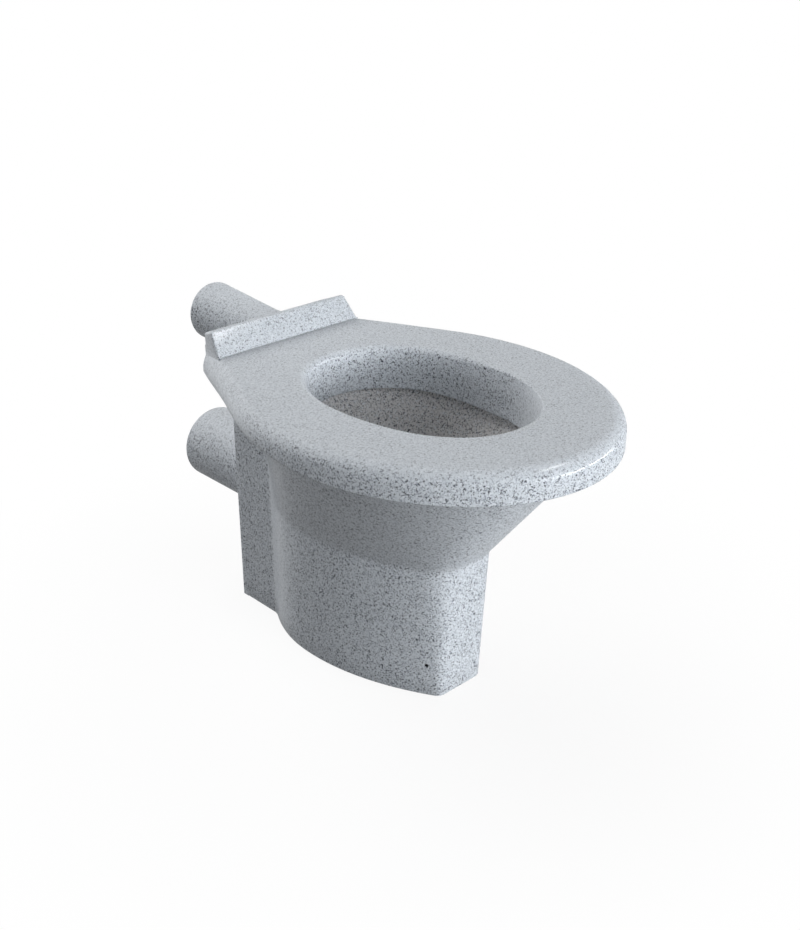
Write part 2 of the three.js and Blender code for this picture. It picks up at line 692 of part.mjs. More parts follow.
// Collar bonded over a joint between two upright pipe ends.
function sleeve(name, back, z) {
  const inner = TRAP_RADIUS + GAP;
  const outer = inner + SLEEVE_WALL;
  const half = SLEEVE_LENGTH / 2;
  const profile = [[inner, -half], [outer, -half], [outer, half], [inner, half], [inner, -half]];
  const turned = new THREE.LatheGeometry(profile.map(([r, h]) => new THREE.Vector2(r, h)), PIPE_STEPS);
  return piece(name, solid(turned.rotateX(Math.PI / 2).translate(0, -back, z)), resin());
}

function outletSpigot() {
  const end = -OUTLET_LENGTH;
  const shoulder = OUTLET_TAIL - OUTLET_SOCKET_DEPTH;
  const profile = [
    [OUTLET_RADIUS, OUTLET_TAIL],
    [OUTLET_RADIUS, end + SPIGOT_CHAMFER],
    [OUTLET_RADIUS - SPIGOT_CHAMFER, end],
    [OUTLET_BORE_RADIUS, end],
    [OUTLET_BORE_RADIUS, shoulder],
    [OUTLET_SOCKET_RADIUS, shoulder],
    [OUTLET_SOCKET_RADIUS, OUTLET_TAIL],
  ];
  return piece('outlet_spigot', turnedAlongY(profile, OUTLET_HEIGHT), resin());
}

// Ring of the flush spigot's outside or bore, at a distance beyond the wall.
function inletRing(radius, beyond) {
  const share = Math.max(beyond, 0) / INLET_LENGTH;
  return pipeRing(radius + INLET_FLARE * share, -beyond, INLET_HEIGHT + INLET_RISE * share, 0);
}

function flushInletSpigot() {
  const outside = loft([
    inletRing(INLET_RADIUS, -INLET_TAIL),
    inletRing(INLET_RADIUS, 0),
    inletRing(INLET_RADIUS, INLET_LENGTH - SPIGOT_CHAMFER),
    inletRing(INLET_RADIUS - SPIGOT_CHAMFER, INLET_LENGTH),
  ]);
  const bore = loft([
    inletRing(INLET_BORE_RADIUS, -INLET_TAIL - CUT_OVERRUN),
    inletRing(INLET_BORE_RADIUS, 0),
    inletRing(INLET_BORE_RADIUS, INLET_LENGTH + CUT_OVERRUN),
  ]);
  return piece('flush_inlet_spigot', outside.subtract(bore), resin());
}

function wallInserts() {
  return insertPlaces().map(({ name, x, z }) => {
    const bush = barAlongY(INSERT_RADIUS, x, z, INSERT_LENGTH, 0, BORE_STEPS);
    const depth = INSERT_LENGTH - BOSS_FLOOR;
    const thread = barAlongY(INSERT_BORE_RADIUS, x, z, depth, -CUT_OVERRUN, BORE_STEPS);
    return piece(name, bush.subtract(thread), brass());
  });
}

function sideSetScrew(name, side) {
  const frame = screwFrame(side);
  const end = BRACKET_DEPTH_FROM_FACE + BRACKET_SHEET + SCREW_END;
  const shank = barAtFootSide(SCREW_RADIUS, SCREW_RECESS, end, frame, SCREW_STEPS);
  const socket = barAtFootSide(HEX_RADIUS, 0, SCREW_RECESS + HEX_DEPTH, frame, HEX_STEPS);
  return piece(name, shank.subtract(socket), blackSteel());
}

function floorBracket(name, side) {
  const frame = screwFrame(side);
  const face = -BRACKET_DEPTH_FROM_FACE;
  const upright = new THREE.BoxGeometry(BRACKET_SHEET, BRACKET_WIDTH, BRACKET_HEIGHT);
  upright.translate(face - BRACKET_SHEET / 2, 0, BRACKET_HEIGHT / 2);
  const foot = new THREE.BoxGeometry(BRACKET_REACH, BRACKET_WIDTH, BRACKET_SHEET);
  foot.translate(face - BRACKET_REACH / 2, 0, BRACKET_SHEET / 2);
  const screwHole = barAtFootSide(SCREW_RADIUS + GAP, 0, 2 * BRACKET_DEPTH_FROM_FACE, frame, SCREW_STEPS);
  const holeDepth = BRACKET_DEPTH_FROM_FACE + (BRACKET_SHEET + BRACKET_REACH) / 2;
  const floorHole = new THREE.CylinderGeometry(
    BRACKET_HOLE_RADIUS, BRACKET_HOLE_RADIUS, 4 * BRACKET_SHEET, SCREW_STEPS,
  );
  floorHole.rotateX(Math.PI / 2).translate(-holeDepth, 0, 0);
  const sheet = atFootSide(upright, frame, 0).add(atFootSide(foot, frame, 0));
  return piece(name, sheet.subtract(screwHole).subtract(atFootSide(floorHole, frame, 0)), zincSteel());
}

const toiletPan = new THREE.Group();
toiletPan.add(
  seatDeck(),
  rearUpstand(),
  pedestalBody(),
  rearWallPlate(),
  bowl(),
  channelFloor(),
  ductFloor(),
  trapInletBend(),
  trapOutletBend(),
  sleeve('throat_sleeve', THROAT_BACK, NECK_BOTTOM),
  sleeve('trap_joint_sleeve', RISE_BACK, TRAP_JOINT_HEIGHT),
  outletSpigot(),
  flushInletSpigot(),
  ...wallInserts(),
  sideSetScrew('left_side_set_screw', -1),
  sideSetScrew('right_side_set_screw', 1),
  floorBracket('left_floor_bracket', -1),
  floorBracket('right_floor_bracket', 1),
);

// The origin goes to the floor under the middle of the whole length, spigots included.
toiletPan.position.y = (DECK_PROJECTION - OUTLET_LENGTH) / 2;

export default toiletPan;
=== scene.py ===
import logging
import math
from dataclasses import dataclass, field
from enum import Enum
from typing import Callable, Iterable, Sequence, Union

import bmesh
import bpy
import numpy as np
from mathutils import Matrix, Vector


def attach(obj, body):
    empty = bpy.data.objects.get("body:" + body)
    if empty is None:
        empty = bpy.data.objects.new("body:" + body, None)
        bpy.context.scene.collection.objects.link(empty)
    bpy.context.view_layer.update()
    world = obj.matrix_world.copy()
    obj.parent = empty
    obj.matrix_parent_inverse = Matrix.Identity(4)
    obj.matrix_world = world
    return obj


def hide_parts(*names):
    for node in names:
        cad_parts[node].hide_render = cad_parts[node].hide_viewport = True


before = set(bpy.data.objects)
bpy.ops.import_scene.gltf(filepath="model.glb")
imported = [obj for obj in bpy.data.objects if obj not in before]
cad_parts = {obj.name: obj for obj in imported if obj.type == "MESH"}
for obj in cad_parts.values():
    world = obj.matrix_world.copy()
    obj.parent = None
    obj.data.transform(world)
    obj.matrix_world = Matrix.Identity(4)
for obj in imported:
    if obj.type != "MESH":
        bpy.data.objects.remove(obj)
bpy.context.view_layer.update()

MILLIMETRE = 0.001
QUARTER = math.pi / 2
BODY = "root"
MIRROR = np.array([-1.0, 1.0])
Rgb = tuple[float, float, float]
Place = tuple[float, float, float]
Piece = bpy.types.Object
Array = np.ndarray
Measure = Union[float, Array]

log = logging.getLogger("toilet_pan")


class Slot(Enum):
    """The finishes that the pan's record names."""

    RESIN = "speckled_resin"
    BRASS = "insert_brass"
    BLACK = "black_screw"
    ZINC = "zinc_bracket"


class Side(Enum):
    """The two sides of the pan, for somebody who faces the wall."""

    LEFT = -1
    RIGHT = 1


@dataclass(frozen=True)
class PanSizes:
    """The pan's sizes in millimetres, as the frame has them. BACK counts from the wall."""

    wall_plane: float = 215.5
    gap: float = 0.3
    deck_top: float = 400.0
    deck_underside: float = 362.0
    deck_half_width: float = 216.0
    deck_half_length: float = 266.0
    deck_rear_half: float = 107.5
    deck_round: float = 18.0
    opening_back: float = 307.0
    opening_half_width: float = 116.0
    opening_half_length: float = 162.0
    opening_power: float = 2.15
    skirt_wall: float = 12.0
    skirt_bottom: float = 340.0
    upstand_half: float = 120.0
    upstand_back: float = 55.5
    upstand_rear_half: float = 102.0
    slab_half: float = 65.0
    body_wall: float = 9.0
    body_top: float = 361.7
    rear_wall: float = 12.0
    mouth_half_width: float = 141.0
    mouth_half_length: float = 187.0
    bowl_wall: float = 8.0
    throat_back: float = 262.0
    neck_bottom: float = 151.0
    neck_top: float = 167.0
    trap_bore: float = 32.0
    trap_radius: float = 39.0
    outlet_height: float = 181.0
    inlet_height: float = 389.5
    inlet_radius: float = 37.0
    inlet_bore: float = 29.0
    inlet_tail: float = 30.0
    insert_side: float = 40.0
    insert_low: float = 45.0
    insert_high: float = 300.0
    insert_radius: float = 8.0


PAN = PanSizes()


def along(outline: Array, shares: Array) -> Array:
    """Finds points on an open outline.

    Args:
        outline: rows of x, y.
        shares: how far along each point lies, from 0 to 1.

    Returns:
        One row for each share.
    """
    way = np.concatenate([[0.0], np.cumsum(np.linalg.norm(np.diff(outline, axis=0), axis=1))])
    way /= way[-1]
    return np.stack([np.interp(shares, way, outline[:, axis]) for axis in (0, 1)], axis=1)


def spaced(*stretches: tuple[float, float, int]) -> Array:
    """Spaces numbers along stretches, each with a start, an end and a number of points."""
    parts = [np.linspace(*stretch) for stretch in stretches]
    return np.concatenate([*(part[:-1] for part in parts[:-1]), parts[-1]])


def at_level(outline: Array, level: Measure) -> Array:
    """Lifts a flat outline to a height and returns rows of x, y, z."""
    return np.column_stack([outline, np.full(len(outline), level)])


def circle(points: int, turned: float = 0.0) -> Array:
    """Directions of the points of a round section, from a start angle."""
    return np.linspace(0, 2 * math.pi, points, endpoint=False) + turned


def quarter_round(radius: float, steps: int) -> list[tuple[float, float]]:
    """Lists how far in from the side and up from its foot each step of a rounded edge lies."""
    angles = [QUARTER * i / steps for i in range(steps + 1)]
    return [(radius * (1 - math.cos(a)), radius * math.sin(a)) for a in angles]


def eased(share: Measure) -> Measure:
    """Turns a share into one between 0 and 1 that starts and ends gently."""
    held = np.clip(share, 0, 1)
    return held**2 * (3 - 2 * held)


def oval(half_width: Measure, half_length: Measure, power: float, angles: Array) -> Array:
    """Superellipse round the middle of the opening.

    Args:
        half_width: half its width.
        half_length: half its length.
        power: 2 for an ellipse, more for fuller corners.
        angles: direction of each point from the middle of the opening.

    Returns:
        Rows of x, y.
    """
    across, ahead = np.cos(angles), np.sin(angles)
    reach = (np.abs(across / half_width) ** power + np.abs(ahead / half_length) ** power) ** (-1 / power)
    return np.column_stack([reach * across, reach * ahead - PAN.opening_back])


def opening(outward: Measure, level: Measure, angles: Array) -> Array:
    """Draws the deck's opening, made wider all round, at a height and with points in directions."""
    halves = (PAN.opening_half_width + outward, PAN.opening_half_length + outward)
    return at_level(oval(*halves, PAN.opening_power, angles), level)


def clear_selection() -> None:
    """Leaves edit mode and deselects everything."""
    if bpy.context.mode != "OBJECT":
        bpy.ops.object.mode_set(mode="OBJECT")
    bpy.ops.object.select_all(action="DESELECT")


def pick(piece: Piece) -> None:
    """Makes one object the only selected one, and the active one.

    Args:
        piece: the object.
    """
    clear_selection()
    piece.select_set(True)
    bpy.context.view_layer.objects.active = piece


def set_on_frame(points: Array) -> Array:
    """Turns millimetres from the wall into metres of the frame."""
    return (np.asarray(points, float) + np.array([0.0, PAN.wall_plane, 0.0])) * MILLIMETRE


def edit_mesh(piece: Piece) -> bmesh.types.BMesh:
    """Opens the mesh of the object in edit mode.

    Args:
        piece: the object.

    Returns:
        Its mesh, with numbered vertices.
    """
    mesh = bmesh.from_edit_mesh(piece.data)
    mesh.verts.ensure_lookup_table()
    mesh.verts.index_update()
    return mesh


def place_ring(mesh: bmesh.types.BMesh, order: Iterable[int], ring: Array) -> None:
    """Moves the vertices of one loop, given by number, to their places in metres."""
    for number, place in zip(order, ring):
        mesh.verts[number].co = place


def start_loop(name: str, ring: Array) -> Piece:
    """Adds a circle and moves its points to their places.

    Args:
        name: the new object's name.
        ring: places of the points in metres.

    Returns:
        The object, in edit mode.
    """
    clear_selection()
    bpy.ops.mesh.primitive_circle_add(vertices=len(ring), radius=0.1, enter_editmode=True)
    piece = bpy.context.object
    piece.name = name
    place_ring(edit_mesh(piece), range(len(ring)), ring)
    return piece


def extrude_loop(piece: Piece, order: list[int], ring: Array) -> list[int]:
    """Extrudes the selected loop and places the new one.

    Args:
        piece: the object in edit mode.
        order: vertex numbers of the selected loop.
        ring: places of the new loop in metres.

    Returns:
        Vertex numbers of the new loop, in the same order.
    """
    bpy.ops.mesh.extrude_edges_move(TRANSFORM_OT_translate={"value": (0, 0, 0)})
    mesh = edit_mesh(piece)
    made = []
    for number in order:
        partners = [edge.other_vert(mesh.verts[number]) for edge in mesh.verts[number].link_edges]
        made.append(next(vertex.index for vertex in partners if vertex.select))
    place_ring(mesh, made, ring)
    return made


def cap_loop(piece: Piece, order: list[int]) -> None:
    """Closes a loop with one flat face.

    Args:
        piece: the object in edit mode.
        order: vertex numbers of the loop.
    """
    bpy.ops.mesh.select_all(action="DESELECT")
    mesh = edit_mesh(piece)
    for number in order:
        mesh.verts[number].select = True
    mesh.select_flush(True)
    bpy.ops.mesh.edge_face_add()


def close_up() -> None:
    """Welds the seams of the object in edit mode, turns its faces outwards and leaves edit mode."""
    bpy.ops.mesh.select_all(action="SELECT")
    bpy.ops.mesh.remove_doubles(threshold=1e-6)
    bpy.ops.mesh.normals_make_consistent(inside=False)
    bpy.ops.object.mode_set(mode="OBJECT")


def draw_skin(name: str, rings: Sequence[Array], joined: bool) -> Piece:
    """Draws a loop and extrudes it from place to place into a closed skin.

    Args:
        name: the new object's name.
        rings: loops of x, y, z in millimetres from the wall, all with the same number of points.
        joined: True if the last loop runs back into the first, False for a flat cap at both ends.

    Returns:
        The closed piece.
    """
    placed = [set_on_frame(ring) for ring in rings]
    if joined:
        placed.append(placed[0])
    piece = start_loop(name, placed[0])
    first = order = list(range(len(placed[0])))
    for ring in placed[1:]:
        order = extrude_loop(piece, order, ring)
    if not joined:
        cap_loop(piece, first)
        cap_loop(piece, order)
    close_up()
    return piece


def turn_on_lathe(
    name: str, profile: Sequence[tuple[float, float]], centre: Place, axis: Place, steps: int
) -> Piece:
    """Draws a closed profile and spins it all the way round.

    Args:
        name: the new object's name.
        profile: radius and place along the axis of each corner, in millimetres.
        centre: a point on the axis, in millimetres from the wall.
        axis: direction of the axis, along Y or Z.
        steps: number of steps in the turn.

    Returns:
        The turned piece.
    """
    lead = np.array(axis, float)
    outward = np.array([1.0, 0.0, 0.0] if lead[2] else [0.0, 0.0, 1.0])
    ring = np.array([np.array(centre) + radius * outward + place * lead for radius, place in profile])
    piece = start_loop(name, set_on_frame(ring))
    bpy.ops.mesh.select_all(action="SELECT")
    middle = set_on_frame(np.array([centre]))[0]
    bpy.ops.mesh.spin(steps=steps, angle=2 * math.pi, center=tuple(middle), axis=axis)
    close_up()
    return piece


def apply_modifier(piece: Piece, kind: str, **settings: object) -> None:
    """Puts a modifier on a piece, sets it up and applies it.

    Args:
        piece: the piece.
        kind: the modifier's type.
        settings: its properties.
    """
    pick(piece)
    modifier = piece.modifiers.new(kind.lower(), kind)
    for key, setting in settings.items():
        setattr(modifier, key, setting)
    bpy.ops.object.modifier_apply(modifier=modifier.name)


def cut_away(piece: Piece, *tools: Piece) -> None:
    """Cuts shapes out of a piece and throws the cutting shapes away.

    Args:
        piece: the piece.
        tools: the cutting shapes.
    """
    for tool in tools:
        apply_modifier(piece, "BOOLEAN", operation="DIFFERENCE", solver="EXACT", object=tool)
        bpy.data.objects.remove(tool)


def grow_on(piece: Piece, addition: Piece) -> None:
    """Joins a second shape to a piece, so that both have one skin."""
    apply_modifier(piece, "BOOLEAN", operation="UNION", solver="EXACT", object=addition)
    bpy.data.objects.remove(addition)


def ease_edges(piece: Piece, width: float, angle: float) -> None:
    """Rounds the edges sharper than an angle in degrees, by a width in millimetres."""
    limit = {"limit_method": "ANGLE", "angle_limit": math.radians(angle), "use_clamp_overlap": True}
    apply_modifier(piece, "BEVEL", width=width * MILLIMETRE, segments=2, **limit)


def round_chosen(
    piece: Piece, width: float, steps: int, chosen: Callable[[bmesh.types.BMEdge], bool]
) -> None:
    """Rounds chosen edges of a piece in edit mode.

    Args:
        piece: the piece.
        width: width of the rounding in millimetres.
        steps: number of steps in it.
        chosen: tells of an edge whether it is rounded.
    """
    pick(piece)
    bpy.ops.object.mode_set(mode="EDIT")
    bpy.ops.mesh.select_mode(type="EDGE")
    bpy.ops.mesh.select_all(action="DESELECT")
    mesh = edit_mesh(piece)
    for edge in mesh.edges:
        edge.select = chosen(edge)
    mesh.select_flush(False)
    bpy.ops.mesh.bevel(offset=width * MILLIMETRE, segments=steps, affect="EDGES")
    bpy.ops.mesh.select_mode(type="VERT")
    close_up()


def settle(name: str) -> Piece:
    """Names the object that was added last and applies its place, turn and size.

    Args:
        name: its name.

    Returns:
        The object.
    """
    piece = bpy.context.object
    piece.name = name
    bpy.ops.object.transform_apply(location=True, rotation=True, scale=True)
    return piece


def add_block(name: str, size: Sequence[float], middle: Sequence[float]) -> Piece:
    """Adds a box.

    Args:
        name: the new object's name.
        size: its size along X, Y and Z in metres.
        middle: its middle in metres.

    Returns:
        The box.
    """
    clear_selection()
    bpy.ops.mesh.primitive_cube_add(size=1, location=tuple(middle), scale=tuple(size))
    return settle(name)


def add_bar(
    name: str, radius: float, length: float, middle: Sequence[float], turn: Sequence[float], points: int
) -> Piece:
    """Adds a round bar.

    Args:
        name: the new object's name.
        radius: its radius in millimetres.
        length: its length in millimetres.
        middle: its middle in metres.
        turn: its rotation from upright.
        points: number of points round it.

    Returns:
        The bar.
    """
    clear_selection()
    size = {"radius": radius * MILLIMETRE, "depth": length * MILLIMETRE}
    bpy.ops.mesh.primitive_cylinder_add(vertices=points, location=tuple(middle), rotation=turn, **size)
    return settle(name)


def bar_along_y(name: str, radius: float, x: float, z: float, front: float, rear: float) -> Piece:
    """Adds a round bar along Y, with the distances of its ends from the wall in millimetres."""
    middle = set_on_frame(np.array([[x, -(front + rear) / 2, z]]))[0]
    return add_bar(name, radius, front - rear, middle, (QUARTER, 0, 0), 96)


Term = Union["Value", float]


class Value:
    """A number that varies over a surface, with its sums written as Python."""

    def __init__(self, board: "NodeBoard", socket: bpy.types.NodeSocket) -> None:
        """Keeps the board that the number lives on and the socket that it comes from."""
        self.board = board
        self.socket = socket

    def _sum(self, operation: str, *terms: Term) -> "Value":
        """Adds a Math node for an operation on terms."""
        return self.board.node("ShaderNodeMath", {"operation": operation}, dict(enumerate(terms)))

    def __add__(self, other: Term) -> "Value":
        """Adds another term."""
        return self._sum("ADD", self, other)

    __radd__ = __add__

    def __sub__(self, other: Term) -> "Value":
        """Takes another term away."""
        return self._sum("SUBTRACT", self, other)

    def __rsub__(self, other: Term) -> "Value":
        """Takes this from another term."""
        return self._sum("SUBTRACT", other, self)

    def __mul__(self, other: Term) -> "Value":
        """Multiplies by another term."""
        return self._sum("MULTIPLY", self, other)

    __rmul__ = __mul__

    def __abs__(self) -> "Value":
        """Drops the sign."""
        return self._sum("ABSOLUTE", self)

    def at_least(self, other: Term) -> "Value":
        """Keeps the greater of two terms."""
        return self._sum("MAXIMUM", self, other)

    def rising(self, start: float, end: float) -> "Value":
        """Rises smoothly from 0 at start to 1 at end."""
        inputs = {"Value": self, "From Min": start, "From Max": end}
        return self.board.node("ShaderNodeMapRange", {"interpolation_type": "SMOOTHSTEP"}, inputs)

    def beside(self, output: str) -> "Value":
        """Another output of the node that this one comes from."""
        return Value(self.board, self.socket.node.outputs[output])


class NodeBoard:
    """The node tree of a material or of the world."""

    def __init__(self, holder: Union[bpy.types.Material, bpy.types.World]) -> None:
        """Empties the tree.

        Args:
            holder: the material or world that has it.
        """
        holder.use_nodes = True
        self.holder = holder
        self.tree = holder.node_tree
        self.tree.nodes.clear()

    def node(
        self,
        kind: str,
        settings: dict[str, object] | None = None,
        inputs: dict[int | str, object] | None = None,
        output: int | str = 0,
    ) -> Value:
        """Adds a node.

        Args:
            kind: the node's type.
            settings: its properties, which are set first.
            inputs: values or links of its sockets, by number or name.
            output: the socket that is wanted from it.

        Returns:
            That output.
        """
        made = self.tree.nodes.new(kind)
        for key, setting in (settings or {}).items():
            setattr(made, key, setting)
        for key, source in (inputs or {}).items():
            if isinstance(source, Value):
                self.tree.links.new(source.socket, made.inputs[key])
            else:
                made.inputs[key].default_value = source
        return Value(self, made.outputs[output])

    def place_on_piece(self) -> Value:
        """The place on the piece, in metres."""
        return self.node("ShaderNodeTexCoord", output="Object")

    def noise(self, place: Value, scale: float, detail: float, output: str = "Fac") -> Value:
        """Cloudy noise from 0 to 1, with its grain size as 1 / scale metres."""
        inputs = {"Vector": place, "Scale": scale, "Detail": detail}
        return self.node("ShaderNodeTexNoise", {}, inputs, output)

    def stirred(self, place: Value, scale: float, distance: float) -> Value:
        """Moves the places about a little, so that a pattern on them gets ragged outlines.

        Args:
            place: the place on the piece, in metres.
            scale: waves of the stirring per metre.
            distance: how far the places move, in metres.

        Returns:
            The moved place.
        """
        swirl = self.noise(place, scale, 1.0, "Color")
        centred = self.node("ShaderNodeVectorMath", {"operation": "SUBTRACT"}, {0: swirl, 1: (0.5, 0.5, 0.5)})
        inputs = {0: centred, 1: (distance * 4,) * 3, 2: place}
        return self.node("ShaderNodeVectorMath", {"operation": "MULTIPLY_ADD"}, inputs)

    def mix(self, share: Term, first: Union[Value, Rgb], second: Union[Value, Rgb]) -> Value:
        """Mixes two colours.

        Args:
            share: share of the second one.
            first: colour where the share is 0.
            second: colour where the share is 1.

        Returns:
            The mixed colour.
        """
        colours = [c if isinstance(c, Value) else (*c, 1.0) for c in (first, second)]
        inputs = {0: share, 6: colours[0], 7: colours[1]}
        return self.node("ShaderNodeMix", {"data_type": "RGBA"}, inputs, 2)

    def looked_at(self) -> Value:
        """Finds the rays that show a surface to the camera.

        Returns:
            1 for a ray straight from the camera, off a glossy surface or through glass, 0 for others.
        """
        rays = ("Is Camera Ray", "Is Glossy Ray", "Is Transmission Ray")
        straight, glossy, through = (self.node("ShaderNodeLightPath", output=ray) for ray in rays)
        return straight.at_least(glossy).at_least(through)

    def finish(self, surface: Value, output: str = "ShaderNodeOutputMaterial") -> bpy.types.ID:
        """Links a shader to the output.

        Args:
            surface: the shader.
            output: the output node's type.

        Returns:
            The material or world.
        """
        made = self.tree.nodes.new(output)
        self.tree.links.new(surface.socket, made.inputs["Surface"])
        return self.holder

    def paint(self, look: dict[str, object], **relief: Term) -> bpy.types.Material:
        """Finishes a material with a Principled shader of that look, over a relief."""
        look["Normal"] = self.node("ShaderNodeBump", {}, relief)
        return self.finish(self.node("ShaderNodeBsdfPrincipled", {}, look))


def seen(red: int, green: int, blue: int) -> Rgb:
    """Works out the linear colour of a shade given as it shows on a screen.

    Args:
        red: its red, from 0 to 255.
        green: its green.
        blue: its blue.

    Returns:
        The linear colour.
    """

    def linear(level: float) -> float:
        """Undoes the screen's curve for one channel."""
        return level / 12.92 if level <= 0.04045 else ((level + 0.055) / 1.055) ** 2.4

    return linear(red / 255), linear(green / 255), linear(blue / 255)


@dataclass(frozen=True)
class Granules:
    """One sort of granules that are stirred into the resin, and show where its surface cuts them."""

    sites: float
    share: float
    smallest: float
    largest: float
    softness: float = 0.1

    def cover(self, board: NodeBoard, place: Value, crowd: Term) -> Value:
        """Finds where a granule shows.

        Args:
            board: the material's node tree.
            place: the place on the piece, in metres.
            crowd: how much greater the share of held sites is at a place.

        Returns:
            1 on a granule, 0 beside it.
        """
        site = board.node("ShaderNodeTexVoronoi", {}, {"Vector": place, "Scale": self.sites}, "Distance")
        draw = board.node("ShaderNodeSeparateColor", {}, {0: site.beside("Color")}, "Red")
        held = (draw + crowd).rising(0.99 - self.share, 1.01 - self.share)
        reach = draw.beside("Green") * (self.largest - self.smallest) + self.smallest
        return (reach - site).rising(0.0, self.softness) * held


@dataclass(frozen=True)
class SpeckledResin:
    """Satin cast resin: pale grey with dark granules, slate dust and light flecks in it.

    The specks fade by the facing of the surface as painted light: a painted sheen on level faces, painted
    shade on faces that look down and painted light on faces that slant back to the sides; level faces are
    also less glossy.
    """

    name: str = "speckled_resin"
    ground: Rgb = seen(214, 219, 224)
    slate: Rgb = seen(122, 129, 143)
    dark: Rgb = seen(46, 48, 60)
    light: Rgb = seen(232, 236, 241)
    grains: Granules = Granules(175.0, 0.45, 0.15, 0.27)
    chips: Granules = Granules(290.0, 0.52, 0.2, 0.39, 0.14)
    crumbs: Granules = Granules(125.0, 0.22, 0.1, 0.2, 0.05)
    dust: Granules = Granules(400.0, 0.45, 0.26, 0.48, 0.2)
    # Painted light: how far the specks fade on level faces (painted sheen), on faces that look down (painted
    # shade) and on faces that slant back to the sides (painted light).
    painted_sheen: float = 0.56
    painted_shade_under: float = 0.2
    painted_light_slanting: float = 0.6
    stirring: float = 0.0011
    roughness: float = 0.4
    gloss: float = 0.18
    gloss_loss: float = 0.85

    def painted_light_fade(self, up: Value) -> Value:
        """Finds how clearly the specks show, where painted light fades them by the facing of the surface.

        Args:
            up: how far the surface faces up, with its other headings beside it.

        Returns:
            1 where they show fully, less under the painted sheen, painted shade and painted light.
        """
        # Painted sheen on level faces and painted shade on faces that look down, as fewer specks.
        level = 1 - up.rising(0.2, 1.0) * self.painted_sheen - (0.0 - up).rising(0.2, 0.6) * self.painted_shade_under
        # Painted light on faces that slant back to the sides, as fewer specks.
        slanting = (abs(up.beside("X")) * up.beside("Y")).rising(0.08, 0.35)
        return level * (1 - slanting * self.painted_light_slanting)

    def strokes(self, board: NodeBoard, place: Value, crowd: Value) -> Value:
        """Finds where thin dark strokes run.

        Args:
            board: the material's node tree.
            place: the place on the piece, in metres.
            crowd: how much denser the specks are at a place.

        Returns:
            1 on a stroke, 0 beside it.
        """
        vein = 0.05 - abs(board.noise(place, 260.0, 1.0) - 0.5)
        stretch = (board.noise(place, 390.0, 0.0) + crowd * 0.2).rising(0.53, 0.61)
        return vein.rising(0.0, 0.03) * stretch * 0.92

    def make(self) -> bpy.types.Material:
        """Builds the material."""
        board = NodeBoard(bpy.data.materials.new(self.name))
        place = board.place_on_piece()
        facing = board.node("ShaderNodeNewGeometry", output="Normal")
        up = board.node("ShaderNodeSeparateXYZ", {}, {0: facing}, "Z")
        painted_light_fade = self.painted_light_fade(up)
        cloud = board.noise(place, 30.0, 2.0)
        crowd = (cloud - 0.5) * 0.3
        stirred = board.stirred(place, 450.0, self.stirring)
        grains = self.grains.cover(board, stirred, crowd) * 0.97
        chips = self.chips.cover(board, stirred, crowd) * 0.92
        crumbs = self.crumbs.cover(board, stirred, crowd)
        strokes = self.strokes(board, place, crowd)
        # The dark specks and slate dust fade under the painted sheen, painted shade and painted light.
        darks = grains.at_least(chips).at_least(crumbs).at_least(strokes) * painted_light_fade
        haze = (board.noise(stirred, 480.0, 1.0) + crowd * 0.1).rising(0.54, 0.67) * 0.7
        slates = haze.at_least(self.dust.cover(board, stirred, crowd) * 0.7) * painted_light_fade
        lights = board.noise(place, 300.0, 1.0).rising(0.52, 0.66) * 0.6
        body = board.mix(slates, board.mix(lights, self.ground, self.light), self.slate)
        look = {
            "Base Color": board.mix(darks, body, self.dark),
            "Roughness": self.roughness + darks * 0.06 + (cloud - 0.5) * 0.1,
            "Specular IOR Level": 0.0,
            "Coat Weight": (1 - up.rising(0.8, 0.94) * self.gloss_loss) * self.gloss,
            "Coat Roughness": 0.14,
        }
        height = board.noise(place, 160.0, 3.0) * 0.4 - darks * 0.15
        return board.paint(look, Height=height, Strength=0.05, Distance=0.001)


# Painted light: the bowl's resin is a lighter and warmer copy of the resin, lifted against the shade inside
# the bowl and warmed like that shade, with little painted sheen.
PAINTED_LIGHT_BASIN_RESIN = SpeckledResin("basin_resin_painted_light", seen(222, 220, 219), seen(120, 119, 122), painted_sheen=0.1)


@dataclass(frozen=True)
class TurnedBrass:
    """Turned brass with fine tool marks and a little tarnish."""

    bright: Rgb = (0.69, 0.5, 0.24)
    dull: Rgb = (0.4, 0.27, 0.12)
    tarnish_waves: float = 260.0
    mark_waves: float = 900.0

    def make(self) -> bpy.types.Material:
        """Builds the material."""
        board = NodeBoard(bpy.data.materials.new("turned_brass"))
        place = board.place_on_piece()
        tarnish = board.noise(place, self.tarnish_waves, 4.0).rising(0.42, 0.7)
        inputs = {"Vector": place, "Scale": self.mark_waves}
        marks = board.node("ShaderNodeTexWave", {"bands_direction": "Y"}, inputs, "Fac")
        colour = board.mix(tarnish * 0.6, self.bright, self.dull)
        look = {"Base Color": colour, "Metallic": 1.0, "Roughness": 0.26 + tarnish * 0.25}
        return board.paint(look, Height=marks, Strength=0.12, Distance=0.0002)


@dataclass(frozen=True)
class ZincPlate:
    """Zinc plated sheet with a soft spangle and a rolling grain."""

    bright: Rgb = (0.6, 0.62, 0.64)
    dull: Rgb = (0.36, 0.38, 0.41)
    spangle_sites: float = 190.0
    grain_waves: float = 700.0

    def make(self) -> bpy.types.Material:
        """Builds the material."""
        board = NodeBoard(bpy.data.materials.new("zinc_plate"))
        place = board.place_on_piece()
        inputs = {"Vector": place, "Scale": self.spangle_sites}
        spangle = board.node("ShaderNodeTexVoronoi", {}, inputs, "Distance")
        colour = board.mix(spangle.rising(0.1, 0.8), self.bright, self.dull)
        look = {"Base Color": colour, "Metallic": 1.0, "Roughness": 0.36 + spangle * 0.2}
        grain = board.noise(place, self.grain_waves, 2.0)
        return board.paint(look, Height=grain, Strength=0.1, Distance=0.0002)


